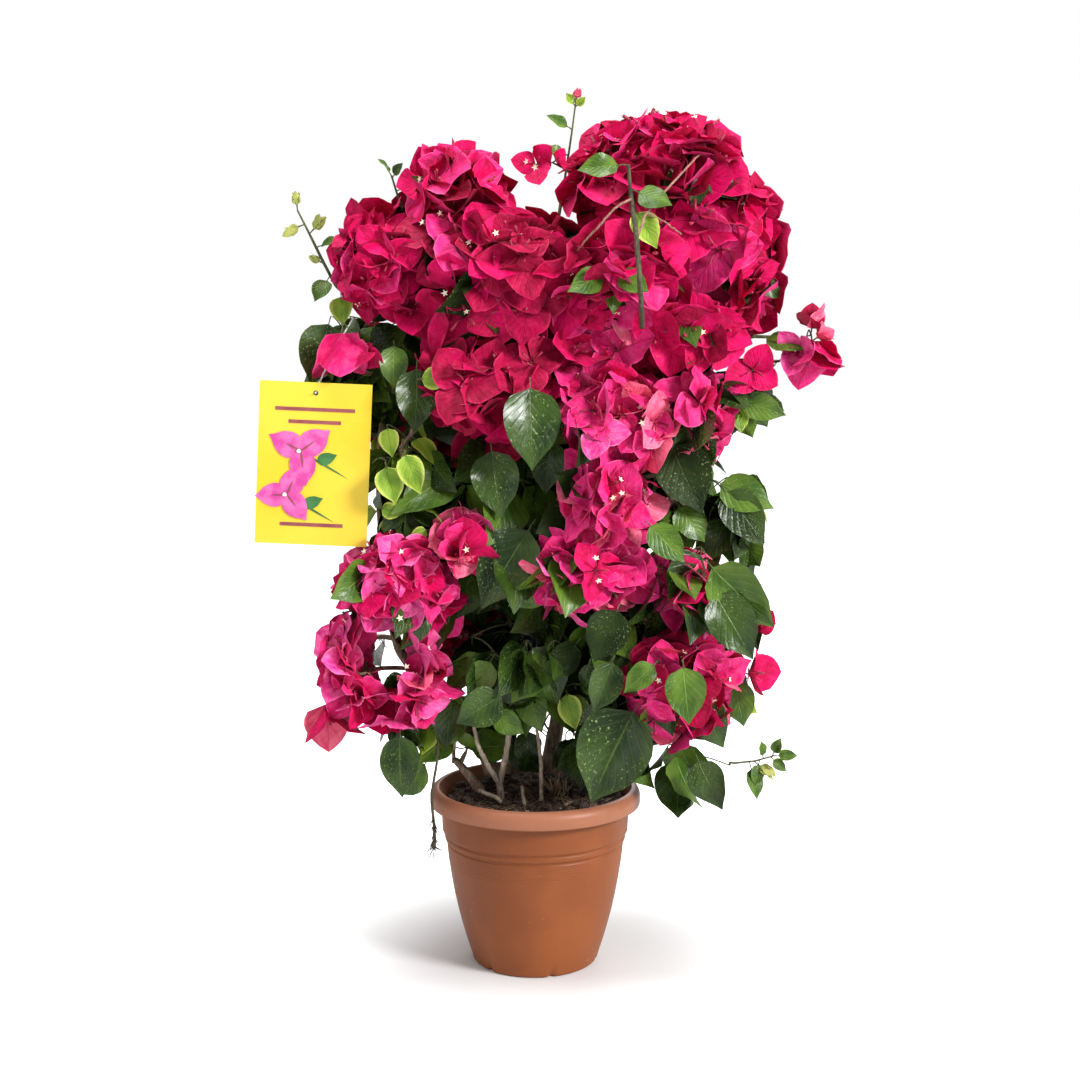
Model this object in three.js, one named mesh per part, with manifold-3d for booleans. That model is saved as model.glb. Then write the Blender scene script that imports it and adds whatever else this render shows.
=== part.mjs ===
// A bougainvillea bush trained upright and fairly flat in a round plastic pot, with its care card.
// Millimetres, +Z up. The origin is the centre of the pot's flat underside, and -Y is the front.
import * as THREE from "three";
import { mergeVertices } from "three/addons/utils/BufferGeometryUtils.js";
import Module from "manifold-3d";

const wasm = await Module();
wasm.setup();

// ---------------------------------------------------------------- driving dimensions

const GAP = 0.5; // clear space left round every piece that cuts another

const POT = {
  height: 174,
  base: 62, // outer radius of the underside
  flare: 0.355, // how fast the wall widens at the foot
  curl: 0.0011, // how that widening dies away with height
  wall: 3,
  floor: 7,
  rim: 105.5, // outer radius of the rolled rim
  rimDepth: 17,
  mouth: 96, // inner radius at the rim
  bandFoot: 129, // where the thicker band under the rim starts
  ringFoot: 121, // where the narrow ring under that band starts
  step: 1.4, // how far the ring and the band each stand out
  notches: 6, // drain notches round the underside
  notchRadius: 4.5,
  notchDepth: 9,
  notchSides: 12,
  segments: 30,
};

// The rim's outline from its outer edge to its mouth: how far inwards from the rim, and below the top.
const RIM_OUTLINE = [[0, POT.rimDepth - 3], [0.4, 4], [3, 0.8], [5.5, 0], [POT.rim - POT.mouth - 1, 1],
  [POT.rim - POT.mouth, 3]];
const OUTER_HEIGHTS = [3, 24, 48, 72, 98]; // the rings of the wall's surface below its steps
const INNER_HEIGHTS = [50, 95, 140]; // the rings of the pot's inside, and of the soil's side
const RIM_FOOT = POT.height - POT.rimDepth;
const POT_BEVEL = 2; // round the edge of the underside
const STEP_SLOPE = 1; // each step of the wall starts and ends this far from its height
const POT_CLEARANCE = 2; // how far the hanging foliage stays from the pot

const SOIL = { level: 162, crown: 3, shoulder: 4, clear: 1 };

const CARD = {
  width: 107,
  height: 155,
  thick: 1,
  centre: [-211, -62, 500],
  tilt: 2.5, // degrees, as it hangs from its tie
  hole: 2.6,
  holeSides: 12,
  holeDrop: 10, // from the card's top edge to the hole
};
const CARD_CLEARANCE = 1.5; // how far the masses stay from the card and its tie

// The tie starts in front of the card, goes back through its hole and up to the left stem.
const TIE = {
  radius: 0.8,
  sides: 5,
  step: 6,
  route: [[-208, -66, 567.4], [-208, -61, 567.4], [-206.5, -57.5, 572], [-203, -56, 583], [-188, -46, 616],
    [-176, -30, 640]],
};

// Limbs: the route of each from foot to tip, and its radius at both ends.
const STEM_SIDES = 7;
const STEM_FLARE = 1.6; // how much wider a stem is at its foot
const FLARE_DECAY = 14; // how fast that widening dies away along the stem
const TUNNEL_SIDES = 4;
const STEM_CLEARANCE = 3.5; // a square tunnel this much wider holds a round stem clear of the masses
const SHOOT_SIDES = 6;
const LIMB_STEP = 48; // the length of limb between two rings of its surface
const LEAST_STEPS = 4;

const STEMS = {
  stem_left: {
    route: [[-35, 46, 150], [-40, 46, 166], [-64, 42, 215], [-97, 30, 250], [-140, 15, 312], [-152, 8, 398],
      [-155, 2, 496], [-147, 0, 578], [-135, -5, 640]],
    radius: [6.5, 2.2],
  },
  stem_centre: {
    route: [[-26, 62, 150], [-25, 60, 170], [-27, 46, 209], [-28, 44, 257], [-20, 30, 352], [-10, 16, 475],
      [0, 10, 590]],
    radius: [5.5, 2],
  },
  stem_right: {
    route: [[40, 44, 150], [44, 44, 172], [70, 40, 229], [115, 25, 303], [129, 6, 396], [128, -4, 488],
      [138, 0, 558], [156, 5, 640]],
    radius: [8, 2.4],
  },
  stem_crown: {
    route: [[13, 62, 150], [14, 62, 172], [26, 56, 242], [38, 46, 345], [50, 36, 470], [65, 26, 575],
      [80, 14, 680]],
    radius: [8.5, 2.2],
  },
  stem_cut_back: { route: [[-48, -14, 150], [-52, -8, 164], [-63, 2, 178], [-82, 16, 196]], radius: [5, 3] },
};

const SHOOTS = {
  shoot_top: {
    route: [[16, 4, 700], [24, 12, 745], [30, 18, 783], [35, 18, 815], [42, 14, 868]],
    radius: [1.9, 0.9],
  },
  shoot_cut_stick: { route: [[94, -104, 668], [91, -108, 712], [85, -112, 776]], radius: [2.6, 1.9] },
  shoot_left_top: { route: [[-106, -16, 700], [-126, -22, 738], [-139, -26, 778]], radius: [1.7, 1] },
  shoot_upper_left: {
    route: [[-172, -14, 655], [-195, -20, 672], [-208, -26, 700], [-230, -30, 745]],
    radius: [2, 0.9],
  },
  shoot_low_right: {
    route: [[158, -22, 214], [186, -26, 203], [214, -30, 205], [236, -34, 212]],
    radius: [1.8, 0.8],
  },
  bough_far_right: { route: [[186, -6, 612], [208, -14, 622], [246, -22, 621]], radius: [2.4, 1.4] },
  bough_right_tip: { route: [[166, -40, 318], [186, -50, 322], [206, -54, 318]], radius: [2.2, 1.3] },
};

// Masses: the centre and the size of each, across, from front to back, and up.
const BLOOMS = {
  bloom_by_card: { at: [-181, -48, 597], size: [50, 46, 60] },
  bloom_single_top: { at: [5, -26, 783], size: [44, 48, 52] },
  bloom_hanging: { at: [-200, -60, 245], size: [48, 46, 52] },
  bloom_far_right: { at: [267, -22, 616], size: [54, 56, 92] },
  bloom_single_right: { at: [209, -40, 588], size: [52, 48, 56] },
  bloom_right_tip: { at: [216, -50, 314], size: [46, 50, 90] },
  bloom_left_mid: { at: [-66, -84, 430], size: [52, 66, 76] },
  bloom_right_mid: { at: [142, -72, 391], size: [68, 78, 78] },
  bloom_centre: { at: [68, -96, 470], size: [94, 76, 104] },
  bloom_centre_low: { at: [52, -92, 402], size: [120, 80, 86] },
  bloom_band: { at: [72, -82, 546], size: [112, 90, 90] },
  bloom_band_right: { at: [152, -70, 548], size: [70, 90, 86] },
  bloom_right_low: { at: [139, -72, 286], size: [108, 104, 116] },
  bloom_left_low: { at: [-131, -62, 382], size: [126, 116, 112] },
  bloom_left_skirt: { at: [-146, -66, 303], size: [128, 104, 116] },
  bloom_upper_left: { at: [-148, -40, 696], size: [86, 96, 106] },
  bloom_front_right: { at: [73, -78, 678], size: [150, 104, 104] },
  bloom_shoulder: { at: [138, -54, 622], size: [134, 120, 82] },
  bloom_top_left: { at: [-79, -12, 750], size: [98, 150, 130] },
  bloom_top_right: { at: [119, 2, 780], size: [166, 172, 126] },
  bloom_right: { at: [175, 8, 702], size: [128, 180, 184] },
  bloom_heart_low: { at: [-46, -46, 576], size: [152, 140, 108] },
  bloom_heart: { at: [-20, -30, 672], size: [196, 176, 146] },
  bloom_back_heart: { at: [-20, 84, 664], size: [210, 96, 150] },
  bloom_back_left: { at: [-128, 72, 566], size: [118, 92, 132] },
  bloom_back_right: { at: [118, 84, 560], size: [130, 90, 110] },
  bloom_back_low: { at: [-98, 76, 350], size: [128, 92, 120] },
};

const FOLIAGE = {
  foliage_right_top: { at: [212, 8, 560], size: [78, 84, 66] },
  foliage_bottom_right: { at: [146, -22, 214], size: [100, 90, 84] },
  foliage_upper_left: { at: [-162, 8, 594], size: [126, 130, 140] },
  foliage_left: { at: [-122, -8, 482], size: [86, 144, 172] },
  foliage_centre_dark: { at: [-34, -4, 504], size: [156, 150, 150] },
  foliage_centre: { at: [-36, -24, 404], size: [130, 150, 124] },
  foliage_mid_right: { at: [120, 0, 486], size: [136, 150, 146] },
  foliage_right: { at: [192, -2, 452], size: [80, 116, 116] },
  foliage_right_large: { at: [184, -12, 378], size: [86, 114, 110] },
  foliage_low_centre: { at: [-26, -12, 306], size: [150, 150, 140] },
  foliage_low_right: { at: [92, -36, 286], size: [130, 130, 186] },
  foliage_low_right_edge: { at: [166, 8, 284], size: [120, 110, 120] },
  foliage_low_left: { at: [-126, 6, 288], size: [104, 120, 176] },
  foliage_back_high: { at: [20, 92, 500], size: [190, 88, 150] },
  foliage_back_low: { at: [44, 84, 350], size: [180, 88, 180] },
};

const LARGE_MASS = 152; // a mass with a longer side than this gets the finer ball
const FINE_BALL = 2;
const COARSE_BALL = 1;
const LUMP_WAVES = 6;
const LUMP_DEPTH = 0.05; // how deep each wave cuts, as a share of the radius
const WAVE_RATE = [2, 5]; // the slowest and the quickest wave across a lump, in radians per radius
const FULLNESS = 2.5; // 2 is an ellipsoid, and more is squarer

// ---------------------------------------------------------------- solids

const material = (color, roughness) => new THREE.MeshStandardMaterial({ color, roughness, metalness: 0 });

const MATERIALS = {
  pot: material(0xb06a48, 0.55),
  soil: material(0x3d2c21, 0.95),
  bark: material(0x7a6150, 0.85),
  shoot: material(0x5d7038, 0.7),
  bloom: material(0xcf1250, 0.7),
  foliage: material(0x35502a, 0.5),
  card: material(0xf7e22c, 0.45),
  tie: material(0xf0efe8, 0.4),
};

const WELD = 1e-3; // corners closer than this are one

// A closed geometry as a solid that can be cut.
function solidOf(geometry) {
  const bare = geometry.clone();
  bare.deleteAttribute("normal");
  bare.deleteAttribute("uv");
  const merged = mergeVertices(bare, WELD);
  return new wasm.Manifold(
    new wasm.Mesh({
      numProp: 3,
      vertProperties: merged.attributes.position.array,
      triVerts: new Uint32Array(merged.index.array),
    }),
  );
}

function geometryOf(solid) {
  const { vertProperties, triVerts, numProp, numVert } = solid.getMesh();
  const positions = new Float32Array(numVert * 3);
  for (let i = 0; i < numVert; i++) {
    const start = i * numProp;
    positions.set(vertProperties.subarray(start, start + 3), i * 3);
  }
  return new THREE.BufferGeometry()
    .setAttribute("position", new THREE.BufferAttribute(positions, 3))
    .setIndex(new THREE.BufferAttribute(triVerts, 1));
}

const largestBody = (solid) => solid.decompose().reduce((a, b) => (b.volume() > a.volume() ? b : a));

// Cuts each cutter that comes near out of the solid, and keeps the largest piece that is left.
function carved(solid, cutters) {
  const near = cutters.filter((cutter) => boxesMeet(solid.boundingBox(), cutter.boundingBox()));
  return largestBody(near.reduce((left, cutter) => left.subtract(cutter), solid));
}

const boxesMeet = (a, b) => [0, 1, 2].every((k) => a.min[k] < b.max[k] && b.min[k] < a.max[k]);

function meshOf(name, solid, look) {
  const mesh = new THREE.Mesh(geometryOf(solid), look);
  mesh.name = name;
  return mesh;
}

// A repeatable random source between 0 and 1, by integer hashing, so that every build is the same.
function randomFrom(seed) {
  let state = seed * 2654435761;
  return () => {
    state = (Math.imul(state ^ (state >>> 15), 2246822519) + 374761393) | 0;
    return ((state ^ (state >>> 13)) >>> 0) / 4294967296;
  };
}

// ---------------------------------------------------------------- pot and soil

// The wall's outer radius at a height, before the band and the ring are added.
const wallRadius = (z) => POT.base + POT.flare * z - POT.curl * z * z;

function bandedRadius(z) {
  const steps = (z > POT.ringFoot ? 1 : 0) + (z > POT.bandFoot ? 1 : 0);
  return wallRadius(z) + steps * POT.step;
}

function latheSolid(profile) {
  const points = profile.map(([radius, height]) => new THREE.Vector2(radius, height));
  return solidOf(new THREE.LatheGeometry(points, POT.segments).rotateX(Math.PI / 2));
}

function potSolid() {
  const stepHeights = [POT.ringFoot, POT.bandFoot].flatMap((z) => [z - STEP_SLOPE, z + STEP_SLOPE]);
  const outer = [...OUTER_HEIGHTS, ...stepHeights, RIM_FOOT].map((z) => [bandedRadius(z), z]);
  const rim = RIM_OUTLINE.map(([inwards, below]) => [POT.rim - inwards, POT.height - below]);
  const inner = [...INNER_HEIGHTS.toReversed(), POT.floor].map((z) => [wallRadius(z) - POT.wall, z]);
  const foot = [[0, 0], [POT.base - POT_BEVEL, 0]];
  const body = latheSolid([...foot, ...outer, [POT.rim - 1, RIM_FOOT], ...rim, ...inner, [0, POT.floor]]);
  const { notchRadius, notchDepth, notchSides } = POT;
  const notch = new THREE.CylinderGeometry(notchRadius, notchRadius, notchDepth * 2, notchSides);
  const turns = Array.from({ length: POT.notches }, (_, i) => ((i + 0.25) / POT.notches) * Math.PI * 2);
  const notches = turns.map((turn) =>
    solidOf(notch.clone().translate(0, POT.base, 0).rotateZ(turn)),
  );
  return carved(body, notches);
}

// Potting soil, from just above the pot's floor to its slightly domed top.
function soilSolid() {
  const { level, crown, shoulder, clear } = SOIL;
  const heights = [POT.floor + GAP, ...INNER_HEIGHTS, level - shoulder];
  const side = heights.map((z) => [wallRadius(z) - POT.wall - clear, z]);
  const edge = wallRadius(level) - POT.wall - shoulder;
  return latheSolid([[0, POT.floor + GAP], ...side, [edge, level], [0, level + crown]]);
}

// Everything inside the pot's outline, which the foliage that hangs round it stays clear of.
function potEnvelope() {
  const [rim, foot, top] = [POT.rim + POT_CLEARANCE, RIM_FOOT - POT_CLEARANCE, POT.height + POT_CLEARANCE];
  const wall = wallRadius(RIM_FOOT) + 2 * POT_CLEARANCE;
  const under = -POT_CLEARANCE / 2;
  return latheSolid([[0, under], [POT.base + POT_CLEARANCE, under], [wall, foot], [rim, foot], [rim, top],
    [0, top]]);
}

// ---------------------------------------------------------------- care card and its tie

// The card with its hole, or a plain grown block that the masses are cut by.
function cardSolid(grow = 0) {
  const { width, height, thick, hole, holeSides, holeDrop } = CARD;
  const blank = solidOf(new THREE.BoxGeometry(width + 2 * grow, thick + 2 * grow, height + 2 * grow));
  const punch = new THREE.CylinderGeometry(hole, hole, thick * 4, holeSides);
  const punched = blank.subtract(solidOf(punch.translate(0, 0, height / 2 - holeDrop)));
  return (grow ? blank : punched).rotate([0, CARD.tilt, 0]).translate(CARD.centre);
}

// ---------------------------------------------------------------- limbs

// One tapering limb along a smooth route, closed at both ends. A flare above 1 widens its foot.
function limbSolid({ route, radius: [foot, tip] }, options = {}) {
  const { grow = 0, flare = 1, sides = SHOOT_SIDES, step = LIMB_STEP } = options;
  const curve = new THREE.CatmullRomCurve3(route.map((point) => new THREE.Vector3(...point)));
  const steps = Math.max(LEAST_STEPS, Math.round(curve.getLength() / step));
  const frames = curve.computeFrenetFrames(steps);
  const positions = [];
  for (let i = 0; i <= steps; i++) {
    const along = i / steps;
    const centre = curve.getPointAt(along);
    const widened = 1 + (flare - 1) * Math.exp(-along * FLARE_DECAY);
    const size = (foot + (tip - foot) * along) * widened + grow;
    for (let k = 0; k < sides; k++) {
      const turn = (k / sides) * Math.PI * 2;
      const spoke = frames.normals[i].clone().multiplyScalar(Math.cos(turn) * size)
        .addScaledVector(frames.binormals[i], Math.sin(turn) * size);
      positions.push(...spoke.add(centre).toArray());
    }
  }
  const footCentre = positions.length / 3;
  positions.push(...curve.getPointAt(0).toArray(), ...curve.getPointAt(1).toArray());
  const faces = [];
  for (let k = 0; k < sides; k++) {
    const next = (k + 1) % sides;
    for (let i = 0; i < steps; i++) {
      const [a, b, c, d] = [i * sides + k, i * sides + next, (i + 1) * sides + next, (i + 1) * sides + k];
      faces.push(a, b, c, a, c, d);
    }
    faces.push(footCentre, next, k, footCentre + 1, steps * sides + k, steps * sides + next);
  }
  return solidOf(
    new THREE.BufferGeometry()
      .setAttribute("position", new THREE.BufferAttribute(new Float32Array(positions), 3))
      .setIndex(faces),
  );
}

const tieSolid = (grow = 0) =>
  limbSolid({ ...TIE, radius: [TIE.radius, TIE.radius] }, { grow, sides: TIE.sides, step: TIE.step });

// The stems rise from a flat cut just above the soil.
const UPRIGHT = [0, 0, 1];
const STEM_CUT = SOIL.level + SOIL.crown + GAP;
const stemSolid = (stem, options = {}) =>
  limbSolid(stem, { flare: STEM_FLARE, sides: STEM_SIDES, ...options }).trimByPlane(UPRIGHT, STEM_CUT);

// ---------------------------------------------------------------- masses of bloom and foliage

// A closed uneven lump: a full ball pushed in and out by slow waves, then fitted to its size.
function lumpSolid({ at, size }, seed, grow = 0) {
  const detail = Math.max(...size) > LARGE_MASS ? FINE_BALL : COARSE_BALL;
  const geometry = new THREE.IcosahedronGeometry(1, detail);
  const random = randomFrom(seed);
  const [slowest, quickest] = WAVE_RATE;
  const waves = Array.from({ length: LUMP_WAVES }, () => ({
    direction: new THREE.Vector3(random() - 0.5, random() - 0.5, random() - 0.5)
      .setLength(slowest + random() * (quickest - slowest)),
    phase: random() * Math.PI * 2,
  }));
  const point = new THREE.Vector3();
  const position = geometry.attributes.position;
  for (let i = 0; i < position.count; i++) {
    point.fromBufferAttribute(position, i).normalize();
    const corner = point.toArray().reduce((sum, part) => sum + Math.abs(part) ** FULLNESS, 0);
    const bump = waves.reduce((sum, wave) => sum + Math.sin(wave.direction.dot(point) + wave.phase), 0);
    point.multiplyScalar(corner ** (-1 / FULLNESS) * (1 + LUMP_DEPTH * bump));
    position.setXYZ(i, point.x, point.y, point.z);
  }
  geometry.computeBoundingBox();
  const middle = geometry.boundingBox.getCenter(new THREE.Vector3());
  const extent = geometry.boundingBox.getSize(new THREE.Vector3()).toArray();
  geometry.translate(-middle.x, -middle.y, -middle.z);
  geometry.scale(...size.map((side, k) => (side + 2 * grow) / extent[k]));
  return solidOf(geometry.translate(...at));
}

// How far a mass reaches from its centre in one direction, as an ellipsoid.
function reach({ size }, direction) {
  const [x, y, z] = size.map((side) => side / 2);
  return 1 / Math.hypot(direction.x / x, direction.y / y, direction.z / z);
}

// Parts every two masses that run into each other by a flat cut across the line between their centres.
function partMasses(masses) {
  for (const [i, a] of masses.entries()) {
    for (const b of masses.slice(i + 1)) {
      if (a.solid.intersect(b.solid).isEmpty()) continue;
      const centre = new THREE.Vector3(...a.mass.at);
      const line = new THREE.Vector3(...b.mass.at).sub(centre);
      const distance = line.length();
      line.normalize();
      const share = reach(a.mass, line) / (reach(a.mass, line) + reach(b.mass, line));
      const cut = line.dot(centre) + distance * share;
      a.solid = a.solid.trimByPlane(line.clone().negate().toArray(), GAP / 2 - cut);
      b.solid = b.solid.trimByPlane(line.toArray(), cut + GAP / 2);
    }
  }
}

// ---------------------------------------------------------------- assembly

const plant = new THREE.Group();
plant.add(meshOf("pot", potSolid(), MATERIALS.pot));
plant.add(meshOf("soil", soilSolid(), MATERIALS.soil));

plant.add(meshOf("care_card", cardSolid(), MATERIALS.card));
plant.add(meshOf("care_card_tie", tieSolid(), MATERIALS.tie));

for (const [name, stem] of Object.entries(STEMS)) {
  plant.add(meshOf(name, stemSolid(stem), MATERIALS.bark));
}

const clearances = [
  potEnvelope(),
  cardSolid(CARD_CLEARANCE),
  tieSolid(CARD_CLEARANCE),
  ...Object.values(STEMS).map((stem) => stemSolid(stem, { grow: STEM_CLEARANCE, sides: TUNNEL_SIDES })),
];

const masses = [...Object.entries(BLOOMS), ...Object.entries(FOLIAGE)].map(([name, mass], i) => ({
  name,
  mass,
  solid: lumpSolid(mass, i + 1),
  clearance: lumpSolid(mass, i + 1, GAP),
}));
partMasses(masses);
for (const { name, solid } of masses) {
  const look = name in BLOOMS ? MATERIALS.bloom : MATERIALS.foliage;
  plant.add(meshOf(name, carved(solid, clearances), look));
}

// A shoot starts where it leaves a mass, so the masses cut its foot off.
clearances.push(...masses.map(({ clearance }) => clearance));
for (const [name, shoot] of Object.entries(SHOOTS)) {
  plant.add(meshOf(name, carved(limbSolid(shoot), clearances), MATERIALS.shoot));
}

export default plant;
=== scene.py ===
"""The looks of a potted bougainvillea bush.

The pot, the soil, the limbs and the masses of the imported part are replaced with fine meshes. Twigs grow
from the stems by a seeded rule, and carry sprays of leaves and bracts over and inside the masses.
"""

import math

import bpy
import numpy as np
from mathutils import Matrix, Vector, noise
from mathutils.bvhtree import BVHTree


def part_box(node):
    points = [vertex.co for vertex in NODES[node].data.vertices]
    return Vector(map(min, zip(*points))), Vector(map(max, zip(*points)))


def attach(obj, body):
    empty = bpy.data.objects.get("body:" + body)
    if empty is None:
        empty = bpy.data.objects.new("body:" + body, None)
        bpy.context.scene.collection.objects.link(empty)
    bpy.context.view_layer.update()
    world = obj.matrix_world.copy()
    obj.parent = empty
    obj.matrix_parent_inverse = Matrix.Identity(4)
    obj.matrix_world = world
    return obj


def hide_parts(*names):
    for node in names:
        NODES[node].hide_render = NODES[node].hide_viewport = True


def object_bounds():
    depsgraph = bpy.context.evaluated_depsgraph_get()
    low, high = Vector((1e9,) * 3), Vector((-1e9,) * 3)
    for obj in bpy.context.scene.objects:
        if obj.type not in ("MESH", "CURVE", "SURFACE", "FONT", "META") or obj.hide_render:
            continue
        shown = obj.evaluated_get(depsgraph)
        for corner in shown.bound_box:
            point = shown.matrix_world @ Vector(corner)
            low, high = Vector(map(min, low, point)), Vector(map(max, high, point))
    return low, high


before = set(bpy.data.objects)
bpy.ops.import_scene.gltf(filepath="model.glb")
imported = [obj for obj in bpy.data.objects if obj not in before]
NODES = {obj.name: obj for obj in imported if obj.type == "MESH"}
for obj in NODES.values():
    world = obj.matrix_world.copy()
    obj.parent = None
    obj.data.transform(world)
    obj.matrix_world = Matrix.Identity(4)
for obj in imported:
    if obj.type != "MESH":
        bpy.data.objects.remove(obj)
CAD_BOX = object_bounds()
RNG = np.random.default_rng(11)

# ------------------------------------------------------------------ sizes, in metres

POT_BASE = 0.062  # outer radius of the underside
POT_FLARE = 0.355  # how fast the wall widens at the foot
POT_CURL = 1.1  # how that widening dies away with height
POT_WALL = 0.003
POT_FLOOR = 0.007
POT_STEPS = (0.121, 0.129)  # the heights where the wall steps out
POT_STEP = 0.0017
POT_STEP_RUN = 0.0018  # the height over which each step comes out
POT_GROOVE = 0.0009  # the soft groove under each step
GROOVE_DROP = 0.0016  # how far under its step the groove lies
GROOVE_WIDTH = 0.0012
POT_RINGS = (0.098, 0.118, 0.0026)  # the faint turned rings: from, to and pitch
RING_RELIEF = 0.00022
POT_FOOT = 0.004  # the radius of the rounded corner at the foot
POT_SEGMENTS = 192
RIM_DEPTH = 0.017
RIM_ROLL = (0.0075, 0.0085)  # the rounding of the rim's top: out and up
RIM_EDGE = 0.002
MOUTH = 0.096  # inner radius at the rim
INSIDE_FROM = 0.145  # the height from which the inside follows the wall
NOTCHES = 6
NOTCH_HALF = 0.075  # radians
NOTCH_HEIGHT = 0.0085
NOTCH_DEPTH = 0.0042
NOTCH_SHIFT = 0.25  # how far round the notches start, as a share of their pitch
AXIS_GAP = 0.0004  # the profile stops this far from the pot's axis

STEM_SIDES = 18
LIMB_CUTS = (150, 40)  # the cuts through a long limb and a short one
LONG_LIMB = 0.1
LIMB_INSET = 0.02  # how far in from a limb's ends the cuts start, as a share of its length
SOIL_LUMP = 0.0045
SOIL_RINGS = 64
SOIL_SEGMENTS = 220
SOIL_FOOT = POT_FLOOR + 0.0006
CLODS = 430
CHIP_EVERY = 12  # every so many clods, one is a pale chip
ROOT_FIBRES = 170

CARD_TILT = math.radians(2.5)

BLADE_ROWS = {"leaf": 10, "bract": 8}
BLADE_COLUMNS = 6
BLADE_PARTS = ("length", "width", "droop", "fold", "cup", "wave", "twist")
CELLS = 4  # blades of a kind share this many squared patches of their pattern
CELL_MARGIN = 0.012

# ------------------------------------------------------------------ colours, linear

TERRACOTTA = ((0.2, 0.052, 0.012), (0.268, 0.075, 0.018))
# the rim's paler colour: a painted highlight where the light falls on the rim
RIM_PAINTED_HIGHLIGHT = (0.35, 0.142, 0.08)
SCUFF_COLOUR = (0.6, 0.33, 0.21)
PORE_COLOUR = (0.2, 0.06, 0.03)
RIM_HIGHLIGHT_FROM = 0.157  # the height in metres above which the pot is painted paler, a painted highlight
SOIL_BROWN = ((0.018, 0.01, 0.006), (0.07, 0.04, 0.024))
CHIP = ((0.16, 0.1, 0.055), (0.34, 0.25, 0.16))
ROOT = ((0.12, 0.075, 0.042), (0.3, 0.21, 0.13))
BARK = ((0.11, 0.072, 0.046), (0.34, 0.25, 0.175))
GREEN_WOOD = ((0.045, 0.062, 0.018), (0.115, 0.14, 0.05))
STICK_BARK = ((0.026, 0.022, 0.011), (0.085, 0.078, 0.036))
RED_BARK = ((0.14, 0.06, 0.045), (0.36, 0.18, 0.13))
PALE_BARK = ((0.17, 0.125, 0.09), (0.42, 0.34, 0.26))
DARK_BARK = ((0.02, 0.015, 0.01), (0.09, 0.07, 0.045))
DRY_BARK = ((0.14, 0.09, 0.055), (0.4, 0.3, 0.2))
STUMP_BARK = ((0.12, 0.075, 0.04), (0.36, 0.25, 0.15))
TUBE_RED = ((0.2, 0.004, 0.02), (0.42, 0.02, 0.07))
STAR_CREAM = ((0.8, 0.74, 0.5), (0.9, 0.87, 0.72))
TIE_WHITE = ((0.7, 0.7, 0.66), (0.85, 0.85, 0.82))
PRINT = {
    "pink": ((0.6, 0.05, 0.3), (0.75, 0.14, 0.42)),
    "dark": ((0.24, 0.05, 0.06), (0.32, 0.08, 0.08)),
    "green": ((0.02, 0.13, 0.03), (0.05, 0.2, 0.05)),
    "white": ((0.8, 0.8, 0.7), (0.9, 0.9, 0.8)),
}
CARD_YELLOW = ((0.82, 0.57, 0.03), (0.87, 0.63, 0.05))

# Each kind of bract or leaf: two shades that its blades vary between, the vein and the edge.
# On a bract the edge colour is partly its own paler rim and partly painted highlight.
BRACTS = {
    "crimson": ((0.4, 0.0002, 0.045), (0.7, 0.001, 0.108), (0.26, 0.0, 0.028), (0.82, 0.03, 0.19)),
    "cerise": ((0.54, 0.002, 0.1), (0.82, 0.03, 0.22), (0.38, 0.001, 0.07), (0.9, 0.14, 0.34)),
    "magenta": ((0.64, 0.01, 0.19), (0.88, 0.11, 0.36), (0.48, 0.006, 0.15), (0.95, 0.32, 0.54)),
    "red": ((0.23, 0.0005, 0.023), (0.44, 0.002, 0.056), (0.15, 0.0, 0.013), (0.66, 0.03, 0.12)),
    "rose": ((0.66, 0.05, 0.14), (0.88, 0.17, 0.28), (0.52, 0.03, 0.12), (0.94, 0.32, 0.42)),
    "lime": ((0.3, 0.36, 0.08), (0.5, 0.52, 0.16), (0.24, 0.3, 0.06), (0.6, 0.56, 0.26)),
}
LEAVES = {
    # the first kind is a near-black copy of the leaf, painted shade, for the leaves inside the crown and a
    # few in front
    "deep": ((0.005, 0.012, 0.002), (0.016, 0.032, 0.005), (0.026, 0.046, 0.01), (0.012, 0.022, 0.004)),
    "dark": ((0.009, 0.025, 0.004), (0.036, 0.072, 0.009), (0.09, 0.14, 0.03), (0.024, 0.05, 0.006)),
    "green": ((0.03, 0.078, 0.006), (0.1, 0.18, 0.018), (0.2, 0.3, 0.07), (0.075, 0.15, 0.013)),
    "young": ((0.12, 0.23, 0.012), (0.27, 0.4, 0.03), (0.1, 0.19, 0.012), (0.62, 0.66, 0.14)),
}
SPECKLE = (0.3, 0.38, 0.14)
GLOSS = {"deep": 0.46, "dark": 0.22, "green": 0.27, "young": 0.4}

# ------------------------------------------------------------------ what each mass carries


def style(bracts=None, leaves=None, bloom=1.0, spacing=0.0275, bract=0.044, leaf=0.058):
    """How a mass is dressed: its colours by share, the share of bloom, and the sizes in metres."""
    return {
        "bracts": bracts or {"crimson": 0.6, "cerise": 0.28, "red": 0.12},
        "leaves": leaves or {"dark": 0.6, "green": 0.4},
        "bloom": bloom,
        "spacing": spacing,
        "bract": bract,
        "leaf": leaf,
    }


LILAC = {"magenta": 0.5, "cerise": 0.32, "crimson": 0.18}
ROSY = {"cerise": 0.52, "rose": 0.24, "crimson": 0.14, "magenta": 0.1}
RUDDY = {"cerise": 0.42, "crimson": 0.3, "rose": 0.14, "red": 0.14}
DEEP_RED = {"crimson": 0.52, "red": 0.42, "cerise": 0.06}
SHADY = {"dark": 0.78, "green": 0.22}
MIXED = {"dark": 0.62, "green": 0.3, "young": 0.08}
LIVELY = {"dark": 0.6, "green": 0.3, "young": 0.1}
BRIGHT = {"green": 0.6, "dark": 0.28, "young": 0.12}
YOUNG = {"dark": 0.46, "green": 0.2, "young": 0.34}

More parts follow.
